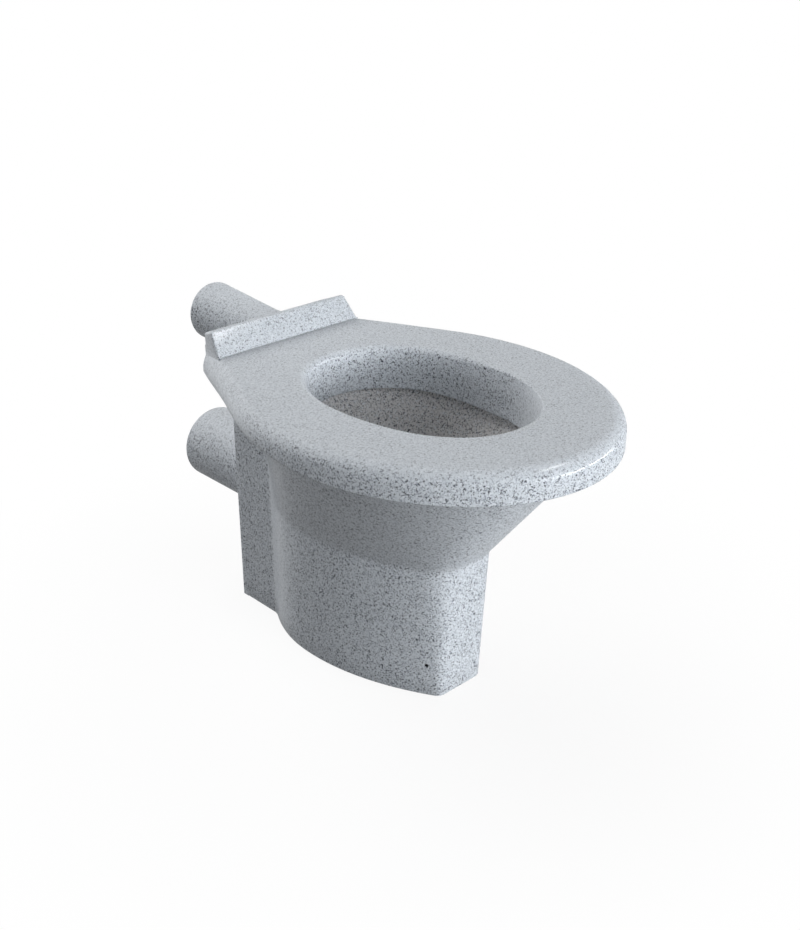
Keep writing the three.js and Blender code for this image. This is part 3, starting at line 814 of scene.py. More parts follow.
@dataclass(frozen=True)
class BlackOxide:
    """Black oxide on steel, rubbed a little brighter in places."""

    black: Rgb = (0.012, 0.012, 0.014)
    rubbed: Rgb = (0.06, 0.06, 0.065)
    wear_waves: float = 900.0

    def make(self) -> bpy.types.Material:
        """Builds the material."""
        board = NodeBoard(bpy.data.materials.new("black_oxide"))
        wear = board.noise(board.place_on_piece(), self.wear_waves, 3.0).rising(0.5, 0.75)
        colour = board.mix(wear, self.black, self.rubbed)
        look = {"Base Color": colour, "Metallic": 0.6, "Roughness": 0.5 - wear * 0.12}
        return board.paint(look, Height=wear, Strength=0.1, Distance=0.0001)


@dataclass(frozen=True)
class StudioWhite:
    """Floor paint that the camera sees as white, with the pan's shadow kept on it."""

    paint: float = 0.05
    bright: float = 0.95
    glow_share: float = 0.9
    near: float = 0.25
    far: float = 0.75

    def make(self) -> bpy.types.Material:
        """Builds the material."""
        board = NodeBoard(bpy.data.materials.new("studio_white"))
        place = board.place_on_piece()
        mottle = board.noise(place, 3.0, 2.0) * 0.04
        tone = board.mix(mottle, (self.paint,) * 3, (self.paint * 0.9,) * 3)
        matte = board.node("ShaderNodeBsdfDiffuse", {}, {"Color": tone})
        bright = board.node("ShaderNodeBsdfDiffuse", {}, {"Color": (*(self.bright,) * 3, 1.0)})
        white = board.node("ShaderNodeEmission", {}, {"Color": (1.0, 1.0, 1.0, 1.0), "Strength": 1.0})
        away = board.node("ShaderNodeVectorMath", {"operation": "LENGTH"}, {0: place}, "Value")
        glow = self.glow_share + away.rising(self.near, self.far) * (1 - self.glow_share)
        lifted = board.node("ShaderNodeMixShader", {}, {0: glow, 1: bright, 2: white})
        inputs = {0: board.looked_at(), 1: matte, 2: lifted}
        return board.finish(board.node("ShaderNodeMixShader", {}, inputs))


@dataclass(frozen=True)
class Paint:
    """A finish that the record names, with the material made for it."""

    slot: Slot
    material: bpy.types.Material


@dataclass(frozen=True)
class Paints:
    """Every finish of the pan, made once."""

    resin: Paint = field(default_factory=lambda: Paint(Slot.RESIN, SpeckledResin().make()))
    # Painted light: the bowl's copy of the resin, lifted and warmed against its shade.
    basin: Paint = field(default_factory=lambda: Paint(Slot.RESIN, PAINTED_LIGHT_BASIN_RESIN.make()))
    brass: Paint = field(default_factory=lambda: Paint(Slot.BRASS, TurnedBrass().make()))
    zinc: Paint = field(default_factory=lambda: Paint(Slot.ZINC, ZincPlate().make()))
    black: Paint = field(default_factory=lambda: Paint(Slot.BLACK, BlackOxide().make()))


def dress(piece: Piece, paint: Paint) -> None:
    """Gives a piece its material.

    Args:
        piece: the piece.
        paint: its finish.
    """
    piece.data.materials.clear()
    piece.data.materials.append(paint.material)


def stand_for(piece: Piece, paint: Paint, node: str, crease: float = 32.0) -> None:
    """Shades a finished piece smooth, dresses it and lets it stand for its CAD node.

    Args:
        piece: the finished piece.
        paint: its finish.
        node: the CAD node that it replaces.
        crease: smallest angle, in degrees, of an edge that stays crisp.
    """
    pick(piece)
    bpy.ops.object.shade_smooth_by_angle(angle=math.radians(crease))
    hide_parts(node)
    dress(piece, paint)
    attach(piece, BODY)
    log.info("%s: %d faces, for %s", piece.name, len(piece.data.polygons), node)


@dataclass
class SubAssembly:
    """A sub-assembly of the pan, dressed with the pan's finishes."""

    paints: Paints


@dataclass(frozen=True)
class FlushWay:
    """Cutting shapes for the flush water's way into the deck."""

    pocket_half: float = 46.0
    pocket_top: float = 388.0
    pocket_front: float = 136.0
    pocket_rear: float = 58.0
    overlap: float = 1.0
    sink: float = 2.0
    past_wall: float = 6.0
    steps: int = 64

    def duct(self) -> Piece:
        """Draws the way from the round bore to the wide flat pocket.

        Returns:
            The cutting shape, in triangles, because its bent faces don't cut cleanly as a whole.
        """
        angles = circle(self.steps, math.pi / self.steps)
        across, upward = np.cos(angles), np.sin(angles)
        reach = np.maximum(np.abs(across), np.abs(upward))
        low = PAN.deck_underside - self.sink
        middle = (self.pocket_top + low) / 2
        level = np.where(upward > 0, self.pocket_top, low)
        flat_z = middle + (level - middle) * np.abs(upward) / reach
        flat_x = self.pocket_half * across / reach
        bore_x, bore_z = PAN.inlet_bore * across, PAN.inlet_height + PAN.inlet_bore * upward
        sections = (
            (bore_x, PAN.inlet_tail - self.overlap, bore_z),
            (flat_x, self.pocket_rear, flat_z),
            (flat_x, self.pocket_front, flat_z),
        )
        rings = [np.column_stack([x, np.full_like(x, -back), z]) for x, back, z in sections]
        cutter = draw_skin("duct_cutter", rings, joined=False)
        apply_modifier(cutter, "TRIANGULATE")
        return cutter

    def socket(self) -> Piece:
        """Adds the round seat of the flush spigot's tail."""
        radius, end = PAN.inlet_radius + PAN.gap / 2, PAN.inlet_tail + PAN.gap
        return bar_along_y("socket_cutter", radius, 0, PAN.inlet_height, end, -self.past_wall)


WAY = FlushWay()


@dataclass
class SeatDeck(SubAssembly):
    """Broad seat deck with its rounded edge, the opening and the skirt under it."""

    side_points: int = 88
    rear_points: int = 14
    curve_points: int = 400
    edge_steps: int = 10
    sill_steps: int = 7
    opening_steps: int = 8
    hem_steps: int = 4
    top_strips: int = 4
    lip_front: float = 2.2
    lip_rear: float = 9.5
    lip_start: float = 0.55
    lip_span: float = 1.2
    lower_round: float = 2.2
    sill_growth: tuple[float, float] = (19.0, 11.0)
    brow_rise: tuple[float, float] = (6.0, 6.0)
    brow_reach: tuple[float, float] = (0.0, 2.0)
    brow_flattening: tuple[float, float] = (0.15, 0.35)
    soft_zone: tuple[float, float] = (-400.0, -180.0)
    wall_zone: tuple[float, float] = (-140.0, 0.0)
    skirt_round: float = 3.0
    skirt_droop: float = 5.5
    droop_start: float = 0.9
    skirt_root: tuple[tuple[float, float], ...] = ((4.0, 0.0), (1.2, 1.2), (0.0, 4.0))
    skirt_levels: tuple[float, ...] = (350.0, 362.0, 374.0)
    underside_shares: tuple[float, ...] = (0.25, 0.5, 0.8)
    pad_levels: tuple[float, float] = (377.0, 399.9)

    def side(self, inset: float) -> Array:
        """Draws the +X half of the deck's outline, front middle to rear corner.

        Args:
            inset: how far inside the deck's edge it lies.

        Returns:
            Rows of x, y.
        """
        half_width = PAN.deck_half_width - inset
        half_length = PAN.deck_half_length - inset
        corner = (PAN.deck_rear_half / PAN.deck_half_width, PAN.opening_back / PAN.deck_half_length)
        tangent = math.atan2(corner[1], corner[0]) - math.acos(1 / math.hypot(*corner))
        angles = np.linspace(-QUARTER, tangent, self.curve_points)
        ahead = half_length * np.sin(angles) - PAN.opening_back
        curve = np.column_stack([half_width * np.cos(angles), ahead])
        return np.concatenate([curve, [[PAN.deck_rear_half - inset, 0.0]]])

    def outline(self, inset: float = 0.0) -> Array:
        """Draws the deck's whole outline, flat along the wall.

        Args:
            inset: how far inside the deck's edge it lies.

        Returns:
            Rows of x, y, front middle first.
        """
        front = along(self.side(inset), np.linspace(0, 1, self.side_points))
        shares = np.linspace(1, 0, self.rear_points + 1)[1:]
        half = np.concatenate([front, np.column_stack([front[-1, 0] * shares, np.zeros(self.rear_points)])])
        return np.concatenate([half, half[1:-1][::-1] * MIRROR])

    def directions(self) -> Array:
        """Directions from the middle of the opening to the points of the deck's outline."""
        facing = self.outline() + np.array([0.0, PAN.opening_back])
        return np.arctan2(facing[:, 1], facing[:, 0])

    def mouth(self, outward: Measure, level: Measure) -> Array:
        """Draws the opening, made wider all round, with its points facing the deck's outline."""
        return opening(outward, level, self.directions())

    def hem(self, outward: float, lift: float) -> Array:
        """Draws a loop over the skirt's lower edge, which hangs lower in front than behind."""
        droop = self.skirt_droop * eased(self.droop_start - np.sin(self.directions()))
        return self.mouth(outward, PAN.skirt_bottom + lift - droop)

    def lip(self, turn: float) -> Array:
        """Draws a loop in the round of the opening's edge, which is crisp in front and soft behind.

        Args:
            turn: how far over the round it lies, from 0 on the wall to a quarter turn on the top.

        Returns:
            Rows of x, y, z.
        """
        behind = eased((np.sin(self.directions()) + self.lip_start) / self.lip_span)
        radius = self.lip_front + (self.lip_rear - self.lip_front) * behind
        return self.mouth(radius * (1 - math.cos(turn)), PAN.deck_top - radius * (1 - math.sin(turn)))

    def shares(self) -> tuple[Array, Array]:
        """Works out how far each point of the outline lies in the soft rear part and next to the wall.

        Returns:
            Two shares from 0 to 1 for each point.
        """
        back = self.outline()[:, 1]
        soft, near = ((back - first) / (last - first) for first, last in (self.soft_zone, self.wall_zone))
        return eased(soft), eased(near)

    def set_in(self, inset: Measure, level: Measure) -> Array:
        """Draws the deck's outline with its own inset and height at every point."""
        outer, inner = self.outline(), self.outline(PAN.deck_round)
        return at_level(outer + (inner - outer) * np.reshape(inset / PAN.deck_round, (-1, 1)), level)

    def brow(self, turn: float) -> Array:
        """Draws a loop in the round of the deck's upper edge, which is wider and flatter at the rear.

        Args:
            turn: how far over the round it lies, from 0 on the side to a quarter turn on the top.

        Returns:
            Rows of x, y, z.
        """
        soft, near = self.shares()
        start = PAN.deck_round
        grown = ((start, self.brow_reach), (start, self.brow_rise), (0.0, self.brow_flattening))
        reach, rise, flat = (size + growth[0] * soft + growth[1] * near for size, growth in grown)
        power = 2 / (2 - flat)
        inset = reach * (1 - abs(math.cos(turn)) ** power)
        return self.set_in(inset, PAN.deck_top - rise * (1 - math.sin(turn) ** power))

    def sill(self, turn: float) -> Array:
        """Draws a loop in the round of the deck's lower edge, which is softer at the rear.

        Args:
            turn: how far under the round it lies, from 0 on the side to a quarter turn on the underside.

        Returns:
            Rows of x, y, z.
        """
        soft, near = self.shares()
        reach, rise = (self.lower_round + growth * soft * (1 - near) for growth in self.sill_growth)
        return self.set_in(reach * (1 - math.cos(turn)), PAN.deck_underside + rise * (1 - math.sin(turn)))

    def levels(self) -> list[Array]:
        """Lists the loops of the section, from the skirt's root round the opening and the edge."""
        wall, soft = PAN.skirt_wall, self.skirt_round
        loops = [self.mouth(wall + outward, PAN.deck_underside - down) for outward, down in self.skirt_root]
        hem = quarter_round(soft, self.hem_steps)
        loops += [self.hem(wall - soft + upward, inward) for inward, upward in reversed(hem)]
        loops += [self.hem(soft - upward, inward) for inward, upward in hem]
        loops += [self.mouth(0, level) for level in self.skirt_levels]
        loops += [self.lip(turn) for turn in np.linspace(0, QUARTER, self.opening_steps + 1)]
        inner, outer = loops[-1], self.brow(QUARTER)
        loops += [inner + (outer - inner) * i / self.top_strips for i in range(1, self.top_strips)]
        loops += [self.brow(turn) for turn in np.linspace(QUARTER, 0, self.edge_steps + 1)]
        loops.append((self.brow(0.0) + self.sill(0.0)) / 2)
        loops += [self.sill(turn) for turn in np.linspace(0, QUARTER, self.sill_steps + 1)]
        inner, outer = loops[0], loops[-1]
        loops += [outer + (inner - outer) * share for share in self.underside_shares]
        return loops

    def pad(self) -> Piece:
        """Draws the flat pad that carries the upstand over the deck's rounded edge.

        Returns:
            The pad.
        """
        half, rear_half, back = PAN.upstand_half, PAN.upstand_rear_half, PAN.upstand_back
        corners = np.array([[-half, -back], [half, -back], [rear_half, 0.0], [-rear_half, 0.0]])
        return draw_skin("pad", [at_level(corners, level) for level in self.pad_levels], joined=False)

    def build(self) -> None:
        """Models the deck and dresses it."""
        deck = draw_skin("seat_deck_cast", self.levels(), joined=True)
        grow_on(deck, self.pad())
        cut_away(deck, WAY.duct(), WAY.socket())
        stand_for(deck, self.paints.resin, "seat_deck")


@dataclass
class RearUpstand(SubAssembly):
    """Wedge along the back of the deck, with softened edges."""

    foot: float = 399.6
    ridge_half: float = 115.0
    ridge_back: float = 33.0
    ridge: float = 429.5
    rear_top: float = 417.0
    edge: float = 3.4
    edge_steps: int = 5
    soft_from: float = 5.0
    crease: float = 9.0

    def end_face(self, side: Side) -> Array:
        """Draws the slanted face at one end of the wedge.

        Args:
            side: the end.

        Returns:
            Rows of x, y, z.
        """
        corners = (
            (PAN.upstand_half, PAN.upstand_back, self.foot),
            (self.ridge_half, self.ridge_back, self.ridge),
            (PAN.upstand_rear_half, 0.0, self.rear_top),
            (PAN.upstand_rear_half, 0.0, self.foot),
        )
        return np.array(corners) * np.array([side.value, -1.0, 1.0])

    def build(self) -> None:
        """Models the wedge, rounds what doesn't lie on the deck and dresses it."""
        wedge = draw_skin("rear_upstand_cast", [self.end_face(side) for side in Side], joined=False)
        clear = (PAN.deck_top + self.soft_from) * MILLIMETRE
        round_chosen(wedge, self.edge, self.edge_steps, lambda edge: max(v.co.z for v in edge.verts) > clear)
        cut_away(wedge, WAY.duct(), WAY.socket())
        stand_for(wedge, self.paints.resin, "rear_upstand", self.crease)


@dataclass
class PedestalCasing(SubAssembly):
    """Foot, cone and slab in one hollow casting, with a soft waist and soft inner corners."""

    waist: float = 192.0
    waist_round: float = 6.0
    waist_forward: float = 14.0
    waist_outward: float = 6.6
    waist_shift: float = 10.0
    projection: float = 384.0
    half_width: float = 95.4
    widest_back: float = 190.0
    front_half: float = 37.0
    front_growth: float = 5.6
    corner: float = 8.0
    corner_growth: float = 18.0
    side_power: float = 2.2
    slab_depth: float = 80.0
    slab_front: float = 150.0
    join_round: float = 4.5
    join_growth: float = 6.0
    join_climb: float = 150.0
    cone_half_width: float = 179.0
    cone_half_length: float = 229.0
    top_fillet: float = 7.0
    fillet_steps: int = 5
    foot_steps: int = 6
    waist_steps: int = 11
    cone_steps: int = 12
    floor_edge: tuple[tuple[float, float], ...] = ((1.6, 0.0), (0.47, 0.47), (0.0, 1.6))
    foot_start: float = 30.0
    tail_end: float = 5.0
    tail_points: int = 80
    corner_points: int = 25
    side_points: int = 200
    dense: int = 600
    front_stops: tuple[tuple[float, float, int], ...] = ((0.0, 0.06, 6), (0.06, 0.16, 22), (0.16, 0.6, 57))
    rear_stops: tuple[tuple[float, float, int], ...] = ((150.0, 112.0, 12), (112.0, 58.0, 37))
    crease: float = 38.0

    def foot_half(self, level: float, wall: float) -> Array:
        """Draws the +X half of the foot's outline.

        Args:
            level: height over the floor.
            wall: distance inside the outer face.

        Returns:
            Rows of x, y.
        """
        share = level / self.waist
        front = self.projection + self.waist_forward * share - wall
        widest = self.half_width + self.waist_outward * share - wall
        widest_back = self.widest_back + self.waist_shift * share
        front_half = self.front_half + self.front_growth * share - wall
        rear_half, rear = PAN.slab_half - wall, self.slab_depth + wall
        corner_back = front - self.corner - self.corner_growth * share

        def half_width_at(back: Array) -> Array:
            """Finds half the width of the foot at distances from the wall.

            Args:
                back: the distances.

            Returns:
                Half the width at each.
            """
            ahead = np.clip((back - widest_back) / (front - widest_back), 0, None) ** 2
            behind = np.clip((widest_back - back) / (widest_back - rear), 0, None) ** self.side_power
            before, after = widest + (front_half - widest) * ahead, widest + (rear_half - widest) * behind
            return np.where(back > widest_back, before, after)

        turn = np.linspace(0, 1, self.corner_points)[:, None]
        start = np.array([front_half - front + corner_back, -front])
        peak = np.array([front_half, -front])
        end = np.array([float(half_width_at(np.array(corner_back))), -corner_back])
        bend = start * (1 - turn) ** 2 + 2 * peak * turn * (1 - turn) + end * turn**2
        backs = np.linspace(corner_back, rear, self.side_points)[1:]
        sides = np.column_stack([half_width_at(backs), -backs])
        backs = np.linspace(rear, self.tail_end, self.side_points)
        tail = np.column_stack([half_width_at(backs), -backs])
        length = float(np.linalg.norm(np.diff(tail, axis=0), axis=1).sum())
        tail = along(tail, np.linspace(0, rear_half / length, self.tail_points)[1:])
        return np.concatenate([[[0.0, -front]], bend, sides, tail])

    def cone_half(self, wall: float) -> Array:
        """Draws the +X half of the cone's top.

        Args:
            wall: distance inside the outer face.

        Returns:
            Rows of x, y.
        """
        angles = np.linspace(-QUARTER, QUARTER, 2 * self.side_points)
        across = (self.cone_half_width - wall) * np.cos(angles)
        return np.column_stack([across, (self.cone_half_length - wall) * np.sin(angles) - PAN.opening_back])

    def section(self, level: float, wall: float) -> Array:
        """Draws the +X half of the foot or cone at a height, with the waist rounded.

        Args:
            level: height over the floor.
            wall: distance inside the outer face.

        Returns:
            Rows of x, y, evenly spaced.
        """
        shares = np.linspace(0, 1, self.dense)
        outlines = (self.foot_half(0, wall), self.foot_half(self.waist, wall), self.cone_half(wall))
        base, waist, mouth = (along(outline, shares) for outline in outlines)
        span = PAN.deck_underside - self.waist
        if level <= self.waist - self.waist_round:
            return base + (waist - base) * level / self.waist
        if level >= self.waist + self.waist_round:
            return waist + (mouth - waist) * (level - self.waist) / span
        below = base + (waist - base) * (1 - self.waist_round / self.waist)
        above = waist + (mouth - waist) * self.waist_round / span
        share = (level - self.waist + self.waist_round) / (2 * self.waist_round)
        lower, upper = below + (waist - below) * share, waist + (above - waist) * share
        return lower + (upper - lower) * share

    def shell_half(self, level: float, wall: float, spread: float) -> Array:
        """Draws the +X half of the whole casing, from the front middle to the end at the wall.

        Args:
            level: height over the floor.
            wall: distance inside the outer face.
            spread: how far the outline is pushed outward for the fillet under the deck.

        Returns:
            Rows of x, y.
        """
        ring = self.section(level, wall)
        shares, stops = np.linspace(0, 1, self.dense), spaced(*self.front_stops)
        front = np.column_stack([np.interp(stops, shares, ring[:, axis]) for axis in (0, 1)])
        lead = (-front[-1, 1], self.slab_front, 12)
        backs = spaced(lead, *self.rear_stops, (self.rear_stops[-1][1], PAN.rear_wall, 8))[1:]
        behind = ring[self.dense // 2 :][::-1]
        widths = np.interp(backs, -behind[:, 1], behind[:, 0])
        slab = PAN.slab_half - wall
        climbed = float(np.clip((level - self.waist) / self.join_climb, 0, 1))
        soft = self.join_round + self.join_growth * climbed
        near = np.clip(soft - np.abs(widths - slab), 0, None)
        joined = np.maximum(widths, slab) + near**2 / (4 * soft)
        widths = np.where(backs < self.slab_front, joined, widths)
        outline = np.concatenate([front, np.column_stack([widths, -backs])])
        return self.pushed(outline, spread) if spread else outline

    def pushed(self, outline: Array, distance: float) -> Array:
        """Pushes an outline outward, at right angles to itself, but not along the wall.

        Args:
            outline: rows of x, y.
            distance: how far it is pushed.

        Returns:
            Rows of x, y.
        """
        ahead = np.gradient(outline, axis=0)
        outward = np.column_stack([np.abs(ahead[:, 1]), -ahead[:, 0]])
        outward /= np.linalg.norm(ahead, axis=1)[:, None]
        moved = outline + outward * distance
        moved[0, 0] = 0.0
        moved[-1, 1] = outline[-1, 1]
        return moved

    def loop(self, level: float, inset: float = 0.0, spread: float = 0.0) -> Array:
        """Draws the whole wall of the casing at a height, outside and back along the inside.

        Args:
            level: height over the floor.
            inset: distance of the outside from the outer face.
            spread: how far the outside is pushed outward.

        Returns:
            Rows of x, y, z.
        """
        halves = (self.shell_half(level, inset, spread), self.shell_half(level, PAN.body_wall, 0.0))
        outside, inside = (np.concatenate([half[1:][::-1] * MIRROR, half]) for half in halves)
        return at_level(np.concatenate([outside, inside[::-1]]), level)

    def levels(self) -> list[Array]:
        """Lists the loops of the casing from the floor to the deck."""
        loops = [self.loop(height, inset) for inset, height in self.floor_edge]
        start, end = self.waist - self.waist_round, self.waist + self.waist_round
        fillet = PAN.body_top - self.top_fillet
        foot = (self.foot_start, start, self.foot_steps)
        waist = (start, end, self.waist_steps)
        loops += [self.loop(level) for level in spaced(foot, waist, (end, fillet, self.cone_steps))]
        hem = quarter_round(self.top_fillet, self.fillet_steps)[1:]
        return loops + [self.loop(fillet + upward, 0.0, outward) for outward, upward in hem]

    def build(self) -> None:
        """Models the casing and dresses it."""
        casing = draw_skin("pedestal_casing", self.levels(), joined=False)
        fixing = SideFixing(self.paints)
        for side in Side:
            cut_away(casing, fixing.bore(side, fixing.hole_radius, -fixing.overshoot, 2 * PAN.body_wall))
        stand_for(casing, self.paints.resin, "pedestal_body", self.crease)


def insert_places() -> list[tuple[str, float, float]]:
    """Lists the CAD node, the place to the right and the height of the four wall inserts."""
    return [
        (f"{level}_{side}_wall_insert", x, z)
        for level, z in (("lower", PAN.insert_low), ("upper", PAN.insert_high))
        for side, x in (("left", -PAN.insert_side), ("right", PAN.insert_side))
    ]


@dataclass
class RearPlate(SubAssembly):
    """Plate on the back of the slab, with bosses for the wall inserts."""

    boss_radius: float = 14.0
    boss_end: float = 28.0
    seat_depth: float = 24.2
    seat_play: float = 0.1
    hole_radius: float = 54.15
    hole_depth: float = 32.0
    past_wall: float = 2.0
    edge: float = 2.0
    edge_steps: int = 4

    def at_wall(self, edge: bmesh.types.BMEdge) -> bool:
        """Tells whether an edge is one of the plate's upright edges at the wall.

        Args:
            edge: an edge of the plate.

        Returns:
            True if it is.
        """
        wall = PAN.wall_plane * MILLIMETRE
        upright = abs(edge.verts[0].co.z - edge.verts[1].co.z) > 0.1
        return upright and all(abs(vertex.co.y - wall) < 1e-5 for vertex in edge.verts)

    def build(self) -> None:
        """Models the plate and dresses it."""
        half = PAN.slab_half
        corners = [(-half, -PAN.rear_wall, 0), (half, 0, PAN.body_top + PAN.gap)]
        low, high = set_on_frame(np.array(corners))
        plate = add_block("rear_plate_cast", high - low, (low + high) / 2)
        round_chosen(plate, self.edge, self.edge_steps, self.at_wall)
        for _, x, z in insert_places():
            grow_on(plate, bar_along_y("boss", self.boss_radius, x, z, self.boss_end, PAN.rear_wall / 2))
        for _, x, z in insert_places():
            radius = PAN.insert_radius + self.seat_play
            cut_away(plate, bar_along_y("seat", radius, x, z, self.seat_depth, -self.past_wall))
        hole = bar_along_y("hole", self.hole_radius, 0, PAN.outlet_height, self.hole_depth, -self.past_wall)
        cut_away(plate, hole, WAY.socket())
        stand_for(plate, self.paints.resin, "rear_wall_plate")


@dataclass
class Bowl(SubAssembly):
    """Bowl with the open flush channel round its top and the neck under it.

    The rows of its profile are depth, size and shift to the throat, each as a share.
    """

    points: int = 144
    inner_steps: int = 26
    outer_steps: int = 23
    outer_top: float = 0.06
    shelf: float = 6.0
    channel_middle: float = 352.0
    outside_middle: float = 333.0
    shelf_round: tuple[tuple[float, float], ...] = ((0.0, 2.0), (-0.6, 0.6), (-2.0, 0.0))
    crease: float = 40.0
    profile: tuple[tuple[float, float, float], ...] = (
        (0.0, 1.0, 0.0),
        (0.1, 0.91, 0.067),
        (0.23, 0.783, 0.156),
        (0.37, 0.625, 0.289),
        (0.515, 0.45, 0.467),
        (0.66, 0.282, 0.667),
        (0.8, 0.133, 0.844),
        (0.92, 0.038, 0.944),
        (1.0, 0.0, 1.0),
    )

    def angles(self) -> Array:
        """Directions of the points of a section."""
        return circle(self.points, -QUARTER)

    def curve(self, at: float, places: Array, values: Array) -> float:
        """Reads a smooth curve.

        Args:
            at: where it is read.
            places: places of the points that it runs through.
            values: values at those points.

        Returns:
            Its value there.
        """
        i = int(np.clip(np.searchsorted(places, at) - 1, 0, len(places) - 2))
        slopes = np.gradient(values, places)
        span = places[i + 1] - places[i]
        t = (at - places[i]) / span
        return float(
            (2 * t**3 - 3 * t**2 + 1) * values[i]
            + (t**3 - 2 * t**2 + t) * span * slopes[i]
            + (3 * t**2 - 2 * t**3) * values[i + 1]
            + (t**3 - t**2) * span * slopes[i + 1]
        )

    def ring(self, depth: float, wall: float) -> Array:
        """Draws a section of the bowl below its shelf.

        Args:
            depth: share of the way down to the neck.
            wall: distance outside the inner face.

        Returns:
            Rows of x, y, z.
        """
        table = np.array(self.profile)
        size, shift = (self.curve(depth, table[:, 0], table[:, column]) for column in (1, 2))
        half_width = PAN.trap_bore + (PAN.mouth_half_width - self.shelf - PAN.trap_bore) * size + wall
        half_length = PAN.trap_bore + (PAN.mouth_half_length - self.shelf - PAN.trap_bore) * size + wall
        outline = oval(half_width, half_length, 2 + (PAN.opening_power - 2) * size, self.angles())
        outline[:, 1] += (PAN.opening_back - PAN.throat_back) * shift
        top = PAN.skirt_bottom - PAN.gap
        return at_level(outline, top + (PAN.neck_top - top) * depth)

    def mouth(self, extra: float, level: float) -> Array:
        """Draws a section of the channel round the bowl's top, made wider all round."""
        half_width, half_length = PAN.mouth_half_width + extra, PAN.mouth_half_length + extra
        return at_level(oval(half_width, half_length, PAN.opening_power, self.angles()), level)

    def neck(self, radius: float) -> Array:
        """Draws the lower end of the round neck.

        Args:
            radius: its radius.

        Returns:
            Rows of x, y, z.
        """
        outline = oval(radius, radius, 2, self.angles())
        outline[:, 1] += PAN.opening_back - PAN.throat_back
        return at_level(outline, PAN.neck_bottom)

    def build(self) -> None:
        """Models the bowl and dresses it."""
        shelf_level, wall, top = PAN.skirt_bottom - PAN.gap, PAN.bowl_wall, PAN.body_top
        loops = [self.mouth(0, top - 1), self.mouth(0, self.channel_middle)]
        loops += [self.mouth(extra, shelf_level + lift) for extra, lift in self.shelf_round]
        loops += [self.ring(depth, 0) for depth in np.linspace(0, 1, self.inner_steps)]
        loops += [self.neck(PAN.trap_bore), self.neck(PAN.trap_radius)]
        depths = np.linspace(1, self.outer_top, self.outer_steps)
        walls = np.linspace(PAN.trap_radius - PAN.trap_bore, wall, self.outer_steps)
        loops += [self.ring(depth, each) for depth, each in zip(depths, walls)]
        rim = ((wall, self.outside_middle), (wall, top - 1), (wall - 1, top), (1, top))
        loops += [self.mouth(extra, level) for extra, level in rim]
        # The bowl wears the copy of the resin that is painted lighter and warmer against its shade.
        stand_for(draw_skin("bowl_cast", loops, joined=True), self.paints.basin, "bowl", self.crease)


@dataclass
class RimChannelRing(SubAssembly):
    """Flat ring that closes the flush channel from below, with a slot beside the skirt."""

    slot: float = 17.0
    top: float = 346.0
    edge: float = 1.0

    def build(self) -> None:
        """Models the ring and dresses it."""
        low, top, edge, out = PAN.skirt_bottom, self.top, self.edge, -PAN.gap
        outside = ((out, low + edge), (out, top - edge), (out - edge, top))
        inside = ((edge, top), (0, top - edge), (0, low + edge), (edge, low))
        bowl = Bowl(self.paints)
        loops = [bowl.mouth(extra, level) for extra, level in outside]
        loops += [opening(self.slot + extra, level, bowl.angles()) for extra, level in inside]
        loops.append(bowl.mouth(out - edge, low))
        ring = draw_skin("rim_channel_ring_cast", loops, joined=True)
        stand_for(ring, self.paints.resin, "rim_channel_ring")


